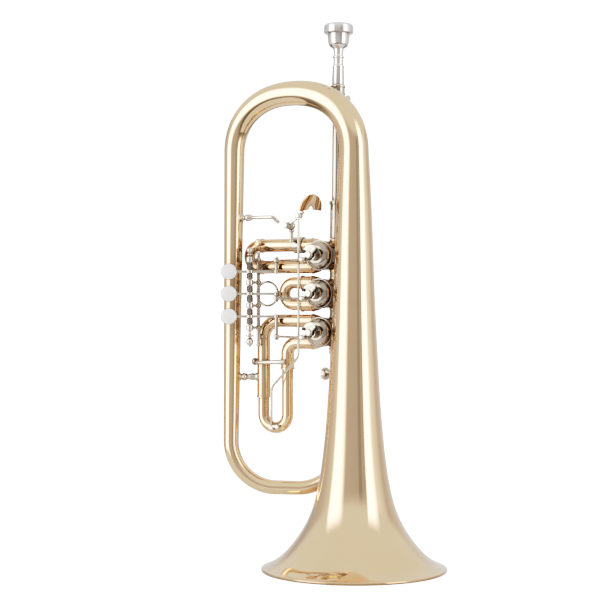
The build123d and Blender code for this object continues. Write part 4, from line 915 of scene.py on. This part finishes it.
def build_rack():
    rack = Shape()
    rack.lathe(at_height(RAIL, 190.8), UP, [
        (0, 0), (1.5, 0.6), (2.2, 2.2), (1.6, 3.8), (1.7, 5), (1.7, 84.2), (0, 84.2)],
        ease=0.5, count=32)
    for z in POST_Z:
        foot = at_height(RAIL, z)
        reach = at_height(HINGE, z) - foot
        rack.ball(foot, 2.7)
        rack.lathe(foot, reach, [(0, 1), (1.5, 1), (1.25, 5), (1.6, reach.length - 2.6),
                                 (0, reach.length - 2.6)], ease=0.4, count=28)
        rack.lathe(at_height(HINGE, z), UP, [
            (HINGE_R + 0.02, -POST_HALF), (2.9, -POST_HALF), (3.3, -1.6), (3.3, 1.6),
            (2.9, POST_HALF), (HINGE_R + 0.02, POST_HALF)], ease=0.5, count=40)
    for z in (VALVES[0].z - PORT_OFFSET, VALVES[2].z + PORT_OFFSET - 14.0):
        foot = at_height(RAIL, z)
        reach = VALVE_Y - RAIL.y - TUBE_R
        rack.lathe(foot, -FRONT, [(0, 0), (2.1, 0), (1.7, 2), (2.6, reach), (0, reach)], ease=0.4,
                   count=28)
    rack.finish("lever_rack", "frame", "nickel_silver", "rack_rail")


def build_hinge_rod():
    foot = at_height(HINGE, ROD_LOW_Z)
    tall = ROD_TOP_Z - ROD_LOW_Z
    rod = Shape()
    rod.lathe(foot, UP, [
        (0, -12), (0.5, -10.5), (1.3, -9.3), (2.9, -7.8), (3.35, -6.4), (3.35, -5.2), (2.8, -3.7),
        (1.5, -2.5), (1.5, -1.6), (3.6, -1.2), (3.6, 0.1), (HINGE_R, 0.3), (HINGE_R, tall - 0.3),
        (2.6, tall + 0.1), (2.6, tall + 1.0), (1.5, tall + 1.6), (2.5, tall + 2.5),
        (3.1, tall + 4.0), (2.6, tall + 5.8), (1.3, tall + 6.6), (0, tall + 6.8)], ease=0.5,
        count=40)
    rod.finish("hinge_rod_turned", "frame", "nickel_silver", "hinge_rod")


TOUCH = Vector((-114.2, -18.0, 0))
TOUCH_R = 7.2
TOUCH_OUT = (TOUCH - at_height(HINGE, 0)).normalized()
TOUCH_NORMAL = Vector((-TOUCH_OUT.y, TOUCH_OUT.x, 0))
CUP_FRONT = 1.6
BLADE_THICK = 2.4


def hub_span(index):
    return POST_Z[index + 1] + POST_HALF + 0.25, POST_Z[index] - POST_HALF - 0.25


def build_touchpiece(number, seat):
    """A low dome of pearl, set in the lever's cup."""
    edge = TOUCH_R - 0.35
    dome = smooth_curve([(edge, 0.4), (TOUCH_R - 1.3, 1.35), (TOUCH_R - 3.6, 1.9), (0, 2.1)], 16,
                        start=(0, 1), end=(-1, 0))
    pearl_disc = Shape().lathe(seat, TOUCH_NORMAL, [(0, 0.03), (edge, 0.03)] + dome, ease=0)
    pearl_disc.finish(f"touchpiece_{number}_pearl", f"lever_{number}_body", "pearl",
                      f"touchpiece_{number}")


def build_lever(index):
    number = index + 1
    z = joint_point(f"lever_{number}_press").z
    joint_z = joint_point(f"link_{number}_swing").z
    bottom, top = hub_span(index)
    lever = Shape()
    lever.lathe(at_height(HINGE, 0), UP, [
        (HINGE_R + 0.05, bottom), (2.1, bottom), (2.1, z - 1.6), (3.5, z - 1.2), (3.5, z + 1.2),
        (2.1, z + 1.6), (2.1, top), (HINGE_R + 0.05, top)], ease=0.3, count=36)
    cup = at_height(TOUCH, z)
    blade = bar_section(2.8, BLADE_THICK, 1.05)
    lever.sweep([cup - TOUCH_OUT * 4.8, at_height(HINGE, z) + TOUCH_OUT * 2.5], blade, up=UP,
                ease=0.5)
    lever.sweep([at_height(HINGE, z), at_height(POST, z)], blade, up=UP, ease=0.5)
    seat = cup + TOUCH_NORMAL * CUP_FRONT
    lever.lathe(seat, TOUCH_NORMAL, [
        (0, -1.7), (4.5, -1.7), (TOUCH_R - 0.4, -1.3), (TOUCH_R, -0.6), (TOUCH_R, 0.25),
        (TOUCH_R - 0.28, 0.3), (TOUCH_R - 0.3, 0.0), (0, 0.0)], ease=0.2, count=64)
    rises = 1 if joint_z > z else -1
    span = abs(joint_z - z)
    lever.lathe(at_height(POST, z), UP * rises, [
        (0, -1.9), (1.5, -1.9), (2.1, -1.2), (2.1, 1.2), (1.7, 2.0), (1.7, span - 2.4),
        (2.1, span - 1.8), (1.25, span - 1.75), (1.25, span + 1.7), (2.0, span + 1.85),
        (2.0, span + 3.0), (1.3, span + 3.3), (0, span + 3.3)], ease=0.25, count=32)
    lever.finish(f"lever_{number}_forged", f"lever_{number}_body", "nickel_silver",
                 f"lever_{number}")
    build_touchpiece(number, seat)


WIRE_R = 0.31
COIL_R = 2.72


def build_springs():
    """Closely wound torsion springs round the lever hubs."""
    springs = Shape()
    for index in range(3):
        z = joint_point(f"lever_{index + 1}_press").z
        bottom, top = hub_span(index)
        for start, end in ((bottom + 0.3, z - 1.9), (z + 1.9, top - 0.3)):
            turns = max(2, int((end - start) / (2.12 * WIRE_R)))
            steps = turns * 28
            path = []
            for step in range(steps + 1):
                angle = 2 * math.pi * step / 28
                rise = start + (end - start) * step / steps
                path.append(Vector((HINGE.x + COIL_R * math.cos(angle),
                                    HINGE.y + COIL_R * math.sin(angle), rise)))
            springs.sweep(path, round_section(WIRE_R, 8), up=UP, ease=0.05)
    springs.finish("lever_springs_wound", "frame", "spring_steel", "lever_springs")


STUD_Y = -24.0


def build_link(index):
    number = index + 1
    z = joint_point(f"link_{number}_swing").z
    eye = at_height(POST, z)
    stud = Vector((VALVE_X - STOP_R / math.sqrt(2), STUD_Y, z))
    run = stud - eye
    out = run.normalized()
    link = Shape()
    link.lathe(eye, UP, [(1.35, -1.45), (2.3, -1.45), (2.6, -1.1), (2.6, 1.1), (2.3, 1.45),
                         (1.35, 1.45)], ease=0.35, count=36)
    link.sweep([eye + out * 2.2, stud - out * 1.9], round_section(1.1, 24), ease=0.2)
    for near, far in ((2.0, 4.6), (run.length - 4.6, run.length - 1.9)):
        link.lathe(eye, out, [(0, near), (1.6, near), (1.6, far), (0, far)], ease=0.4, count=28)
    link.lathe(stud, FRONT, [(0, -1.0), (2.3, -1.0), (2.3, 1.0), (1.75, 1.2), (1.75, 2.2),
                             (1.3, 2.6), (0, 2.6)], ease=0.3, count=36)
    link.finish(f"link_{number}_rod", f"link_{number}_body", "nickel_silver", f"link_{number}")


# ---- Third-slide trigger ----
ROD_EYE = Vector((-48.0, TRIGGER.y, 305.5))
ARM_END = Vector((-44.5, TRIGGER.y, 309.4))
SADDLE_CENTRE = Vector((-41.0, -2.4, 311.5))
SADDLE_R = 8.0
SADDLE_LENGTH = 11.0
SADDLE_TURN = math.radians(17)
SADDLE_DIP = math.radians(15)
ROD_R = 1.1
ROD_Y = TRIGGER.y - 2.4


def build_trigger_bracket():
    base = Vector((TRIGGER.x, VALVE_Y, VALVES[0].z + PORT_OFFSET))
    bracket = Shape()
    clamp = [(TUBE_R + 0.02, -4), (TUBE_R + 1.5, -4), (TUBE_R + 1.5, 5), (TUBE_R + 0.02, 5)]
    bracket.lathe(base, -LEFT, clamp, ease=0.5, count=48)
    post = Vector((TRIGGER.x, TRIGGER.y + 9, base.z + 2))
    bracket.lathe(post, UP, [(0, 0), (2.4, 0), (2.4, 1.6), (1.8, 3.0), (1.8, 8.6), (2.4, 10),
                             (2.4, 11), (1.6, 12), (0, 12)], ease=0.5, count=32)
    bracket.lathe((TRIGGER.x, VALVE_Y - 4, base.z + 4), FRONT, [
        (0, 0), (2.2, 0), (2.2, 10.0), (0, 10.4)], ease=0.4, count=32)
    bracket.lathe((TRIGGER.x, TRIGGER.y + 11, TRIGGER.z), FRONT, [
        (0, 0), (2.6, 0), (3.4, 0.6), (3.4, 3.4), (2.6, 4.3), (3.4, 5.2), (3.4, 8.6), (1.5, 8.7),
        (1.5, 13.2), (2.5, 13.2), (2.5, 14.2), (1.9, 14.6), (0, 14.6)], ease=0.35, count=40)
    bracket.finish("trigger_bracket_turned", "frame", "nickel_silver", "trigger_bracket")


def build_trigger():
    """The arm from its pivot over the rod's eye to the saddle."""
    lever = Shape()
    lever.lathe(TRIGGER - FRONT * 2, FRONT, [
        (1.6, 0), (3.2, 0), (3.2, 3.8), (1.6, 3.8)], ease=0.4, count=40)
    plane_y = TRIGGER.y + 0.1
    path = [at_height((p.x, plane_y), p.z) for p in (TRIGGER, ROD_EYE)]
    path.append(at_height((ARM_END.x, plane_y), ARM_END.z))
    lever.sweep(path, bar_section(3.0, 2.2, 0.8), up=FRONT, ease=0.5)
    lever.lathe((ROD_EYE.x, plane_y + 1.1, ROD_EYE.z), FRONT, [
        (0, 0), (2.6, 0), (2.6, 2.2), (0, 2.2)], ease=0.4, count=32)
    lever.finish("trigger_arm", "trigger", "nickel_silver", "trigger_lever")


def build_thumb_saddle():
    """A half ring of strip, tilted and turned towards the thumb."""
    axis = Vector((math.cos(SADDLE_TURN) * math.cos(SADDLE_DIP),
                   -math.sin(SADDLE_TURN) * math.cos(SADDLE_DIP), -math.sin(SADDLE_DIP)))
    side = Vector((math.sin(SADDLE_TURN), math.cos(SADDLE_TURN), 0))
    rise = axis.cross(side)
    path = []
    for step in range(49):
        angle = math.radians(-6 + 198 * step / 48)
        path.append(SADDLE_CENTRE + (side * math.cos(angle) + rise * math.sin(angle)) * SADDLE_R)
    Shape().sweep(path, bar_section(SADDLE_LENGTH, 1.4, 0.55), up=axis, ease=0.5).finish(
        "thumb_saddle_bent", "trigger", "lacquered_brass", "thumb_saddle")


def build_trigger_rod():
    foot_x = S3_LEFT_X + 12.0
    foot_y = VALVE_Y - SLIDE_R - ROD_R - 1.2
    path = rounded_path([(ROD_EYE.x, ROD_Y, ROD_EYE.z - 2.4), (ROD_EYE.x, ROD_Y, 183),
                         (foot_x, foot_y, 155), (foot_x, foot_y, 121.5)], 9.0)
    rod = Shape()
    rod.sweep(path, round_section(ROD_R, 28), ease=0.2)
    rod.lathe((ROD_EYE.x, ROD_Y + 1.0, ROD_EYE.z), FRONT, [
        (0, 0), (3.0, 0), (3.0, 2.2), (1.9, 2.3), (1.9, 3.5), (1.4, 3.7), (0, 3.7)], ease=0.3,
        count=36)
    for x in (foot_x, foot_x + 5.5):
        z = S3_SPRING_Z - math.sqrt(S3_BOW_R ** 2 - (x - S3_MIDDLE_X) ** 2)
        rod.lathe((x, VALVE_Y - SLIDE_R + 0.6, z), FRONT, [
            (0, 0), (2.0, 0), (1.6, 1.2), (2.3, 2.2), (2.3, 3.6), (1.7, 4.2), (0, 4.4)], ease=0.3,
            count=32)
    rod.sweep([(foot_x - 0.5, foot_y + 0.4, 120.4), (foot_x + 6.0, foot_y + 0.4, 120.4)],
              bar_section(2.0, 2.4, 0.6), up=UP, ease=0.3)
    rod.finish("trigger_rod_bent", "slide_3", "nickel_silver", "trigger_rod")


# ---- Braces, hook and lyre holder ----
def leg_point(z):
    share = (LEG_TOP.z - z) / (LEG_TOP.z - LEG_FOOT.z)
    return LEG_TOP.lerp(LEG_FOOT, share)


HOOK_Z = 305.6
BEADED_BRACE_Z = 164.0


def build_hand_hook():
    foot = leg_point(HOOK_Z)
    hook = Shape()
    hook.lathe(foot, -LEFT, [
        (0, 6.5), (5.0, 7.4), (5.0, 8.2), (2.5, 9.6), (2.0, 11.5), (3.0, 13.0), (3.4, 15.0),
        (2.7, 17.8), (1.8, 19.6), (0, 19.6)], ease=0.6, count=40)
    path = rounded_path([foot + Vector((18, 0, 0)), foot + Vector((40, 0, 0)),
                         foot + Vector((44, 4, -5))], 3.0)
    hook.sweep(path, round_section(1.75, 28), ease=0.6)
    hook.finish("hand_hook_cast", "frame", "nickel_silver", "hand_hook")


def build_beaded_brace():
    foot = leg_point(BEADED_BRACE_Z)
    run = at_height((S3_LEFT_X, VALVE_Y), BEADED_BRACE_Z) - foot
    length = run.length
    beads = [(0, 5.0), (4.2, 6.4), (3.9, 7.6), (2.7, 8.8), (3.6, 10.2), (3.9, 11.4), (3.3, 12.8),
             (2.2, 14.4), (3.0, 16.2), (3.6, 18.4), (2.9, 20.4), (3.6, 21.8), (3.9, 22.4),
             (3.9, length - 4), (0, length - 4)]
    Shape().lathe(foot, run, beads, ease=0.8, count=40).finish(
        "beaded_brace_turned", "frame", "nickel_silver", "beaded_brace")


def build_bell_braces():
    stays = Shape()
    for upper, lower in ((0, 1), (1, 2)):
        z = (VALVES[upper].z + VALVES[lower].z) / 2
        start = Vector((MAIN_X, VALVE_Y, z))
        run = Vector((-MAIN_X, -VALVE_Y, 0))
        stays.lathe(start, run, [(0, 5.2), (3.2, 6.0), (1.9, 7.4), (1.9, 8.6), (3.4, 11.4),
                                 (0, 12.5)], ease=0.4, count=36)
    stays.finish("bell_stays", "frame", "nickel_silver", "bell_braces")


LYRE_TILT = math.radians(15)


def build_lyre_holder():
    centre = joint_point("lyre_screw_turn")
    out = Vector((0, math.sin(LYRE_TILT), math.cos(LYRE_TILT)))
    holder = Shape()
    holder.lathe(centre, out, [
        (2.6, -7), (4.3, -7), (4.6, -6.4), (4.6, -5.0), (4.3, -4.4), (4.3, 4.4), (4.6, 5.0),
        (4.6, 6.4), (4.3, 7), (2.6, 7)], ease=0.3, count=48)
    holder.lathe(centre, FRONT, [(0, 4), (2.4, 4), (2.4, 7.6), (3.0, 9.0), (3.2, 11.0),
                                 (0, 11.0)], ease=0.3, count=32)
    holder.lathe(centre, LEFT, [(1.6, 3.6), (3.2, 3.6), (3.2, 7.2), (2.8, 7.6), (1.6, 7.6)],
                 ease=0.3, count=32)
    holder.finish("lyre_socket_turned", "frame", "nickel_silver", "lyre_holder")
    Shape().lathe(centre, LEFT, [
        (0, 3.0), (1.55, 3.0), (1.55, 9), (2.6, 9), (2.6, 10.6), (1.9, 11.2), (1.9, 14.5),
        (3.0, 15.5), (5.2, 17.2), (5.8, 18.2), (5.8, 20.6), (5.2, 21.6), (0, 22.0)], ease=0.35,
        count=48).finish("lyre_screw_turned", "lyre_screw_body", "nickel_silver", "lyre_screw")


def paint_cad_nodes():
    """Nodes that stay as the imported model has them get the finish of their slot."""
    slots = {part["node"]: part["material_slot"] for part in frame["record"]["subparts"]}
    for name, node in frame["nodes"].items():
        node.data.materials.clear()
        node.data.materials.append(MATERIALS[slots[name]])


# ---- Stage ----
CAMERA_AZIMUTH = 28.0
CAMERA_DISTANCE = 1.45
CAMERA_TARGET = Vector((-0.0410, -0.0218, 0.2325))
CAMERA_LENS = 101.2
FLOOR_HALF = 0.45
FLOOR_DROP = 0.0002
WALL_PEAK = 8.0
CEILING_LIGHT = 1.45
BOX_LIGHT = 6.0
WHITE = 6.0
# Brightness of the walls, by degrees to the right of the camera's side of the horn.
WALL_LIGHT = [(-180, 1.6), (-150, 0.7), (-110, 0.9), (-82, 1.4), (-48, 1.3), (-33, 0.82),
              (12, 0.76), (15, 0.5), (24, 0.46), (27, 0.76), (37, 0.66), (40, 1.0), (64, 2.4),
              (110, 0.85), (150, 1.2), (180, 1.6)]


def light_direction(graph):
    """Degrees to the right of the camera's side of the horn, and above the horizon."""
    place = graph.add("TexCoord").outputs["Generated"]
    split = graph.add("SeparateXYZ", Vector=place)
    back = graph.math("MULTIPLY", split.outputs["Y"], -1.0)
    azimuth = graph.math("ARCTAN2", split.outputs["X"], back)
    degrees = graph.math("MULTIPLY", azimuth, 180 / math.pi)
    turned = graph.math("SUBTRACT", degrees, CAMERA_AZIMUTH)
    turn = graph.math("WRAP", turned, 180.0, -180.0)
    rise = graph.math("MULTIPLY", graph.math("ARCSINE", split.outputs["Z"]), 180 / math.pi)
    return turn, rise


def room_light(graph, turn, rise):
    """Walls that are dim low down, under an even ceiling."""
    share = graph.math("DIVIDE", graph.math("ADD", turn, 180.0), 360.0)
    stops = [((angle + 180) / 360, (level / WALL_PEAK,) * 3) for angle, level in WALL_LIGHT]
    walls = graph.math("MULTIPLY", graph.ramp(share, stops), WALL_PEAK)
    lower = graph.math("MULTIPLY_ADD", graph.step_up(rise, -34.0, -12.0), 0.8, 0.2)
    room = graph.add("Mix", Factor=graph.step_up(rise, 15.0, 27.0),
                     A=graph.math("MULTIPLY", walls, lower), B=CEILING_LIGHT)
    return room.outputs["Result"]


def soft_box(graph, turn, rise, left_edge, right_edge):
    """1 inside an upright box of light with soft edges."""
    return graph.math("MULTIPLY", graph.window(turn, left_edge, right_edge),
                      graph.window(rise, (-26, -12), (24, 44)))


def build_world():
    """A white studio as seen by the metal: two soft boxes, a dim front and pale walls."""
    world = bpy.data.worlds.new("studio")
    bpy.context.scene.world = world
    graph = Graph(world)
    graph.nodes.clear()
    turn, rise = light_direction(graph)
    both = graph.math("ADD", soft_box(graph, turn, rise, (-84, -74), (-52, -31)),
                      soft_box(graph, turn, rise, (38, 41), (56, 76)))
    light = graph.math("ADD", room_light(graph, turn, rise), graph.math("MULTIPLY", both, BOX_LIGHT))
    rays = graph.add("LightPath")
    shown = graph.add("Mix", Factor=rays.outputs["Is Camera Ray"], A=light, B=WHITE)
    background = graph.add("Background", Strength=shown.outputs["Result"])
    graph.add("OutputWorld", Surface=background.outputs["Background"])


def floor_material():
    """White paper, lit to pure white as seen by the camera."""
    material, graph, shader = new_material("floor_white")
    graph.set_inputs(shader, Base_Color=(0.8, 0.8, 0.8, 1), Roughness=0.9)
    paper = shader.outputs["BSDF"]
    glow = graph.add("Emission", Strength=3.2)
    both = graph.add("AddShader")
    choose = graph.add("MixShader")
    rays = graph.add("LightPath")
    for socket, value in zip(both.inputs, (paper, glow.outputs["Emission"])):
        graph.feed(socket, value)
    for socket, value in zip(choose.inputs, (rays.outputs["Is Camera Ray"], paper,
                                             both.outputs["Shader"])):
        graph.feed(socket, value)
    graph.set_inputs(graph.nodes["Material Output"], Surface=choose.outputs["Shader"])
    return material


def build_floor():
    corners = [(-1, -1), (1, -1), (1, 1), (-1, 1)]
    mesh = bpy.data.meshes.new("floor")
    mesh.from_pydata([(x * FLOOR_HALF, y * FLOOR_HALF, -FLOOR_DROP) for x, y in corners], [],
                     [(0, 1, 2, 3)])
    floor = bpy.data.objects.new("floor", mesh)
    bpy.context.scene.collection.objects.link(floor)
    mesh.materials.append(floor_material())


def build_camera():
    camera = bpy.data.objects.new("camera", bpy.data.cameras.new("camera"))
    bpy.context.scene.collection.objects.link(camera)
    angle = math.radians(CAMERA_AZIMUTH)
    back = Vector((math.sin(angle), -math.cos(angle), 0))
    camera.location = CAMERA_TARGET + back * CAMERA_DISTANCE
    camera.rotation_euler = (-back).to_track_quat("-Z", "Y").to_euler()
    camera.data.lens = CAMERA_LENS
    bpy.context.scene.camera = camera


def set_tone():
    """A tone curve with a soft shoulder, so that bright metal keeps its shading."""
    settings = bpy.context.scene.view_settings
    settings.view_transform = "Standard"
    settings.use_curve_mapping = True
    curve = settings.curve_mapping
    curve.white_level = (4.0, 4.0, 4.0)
    points = [(0.036, 0.144), (0.063, 0.25), (0.09, 0.335), (0.126, 0.43), (0.18, 0.56),
              (0.2825, 0.69), (0.405, 0.81), (0.65, 0.94)]
    for place in points:
        curve.curves[3].points.new(*place)
    curve.update()


build_bell()
build_top_bow()
build_left_leg()
build_bottom_bow()
build_down_tube()
build_ferrules()
build_leadpipe()
build_mouthpiece()
build_receiver_brace()
for valve_index in range(3):
    build_valve(valve_index)
build_front_caps()
build_rear_caps()
build_stop_bumpers()
build_main_line()
build_slide_1()
build_slide_2()
build_slide_3_branches()
build_slide_3()
build_slide_3_brace()
build_rack()
build_hinge_rod()
for lever_index in range(3):
    build_lever(lever_index)
    build_link(lever_index)
build_springs()
build_trigger_bracket()
build_trigger()
build_thumb_saddle()
build_trigger_rod()
build_hand_hook()
build_beaded_brace()
build_bell_braces()
build_lyre_holder()
paint_cad_nodes()
build_world()
build_floor()
build_camera()
set_tone()
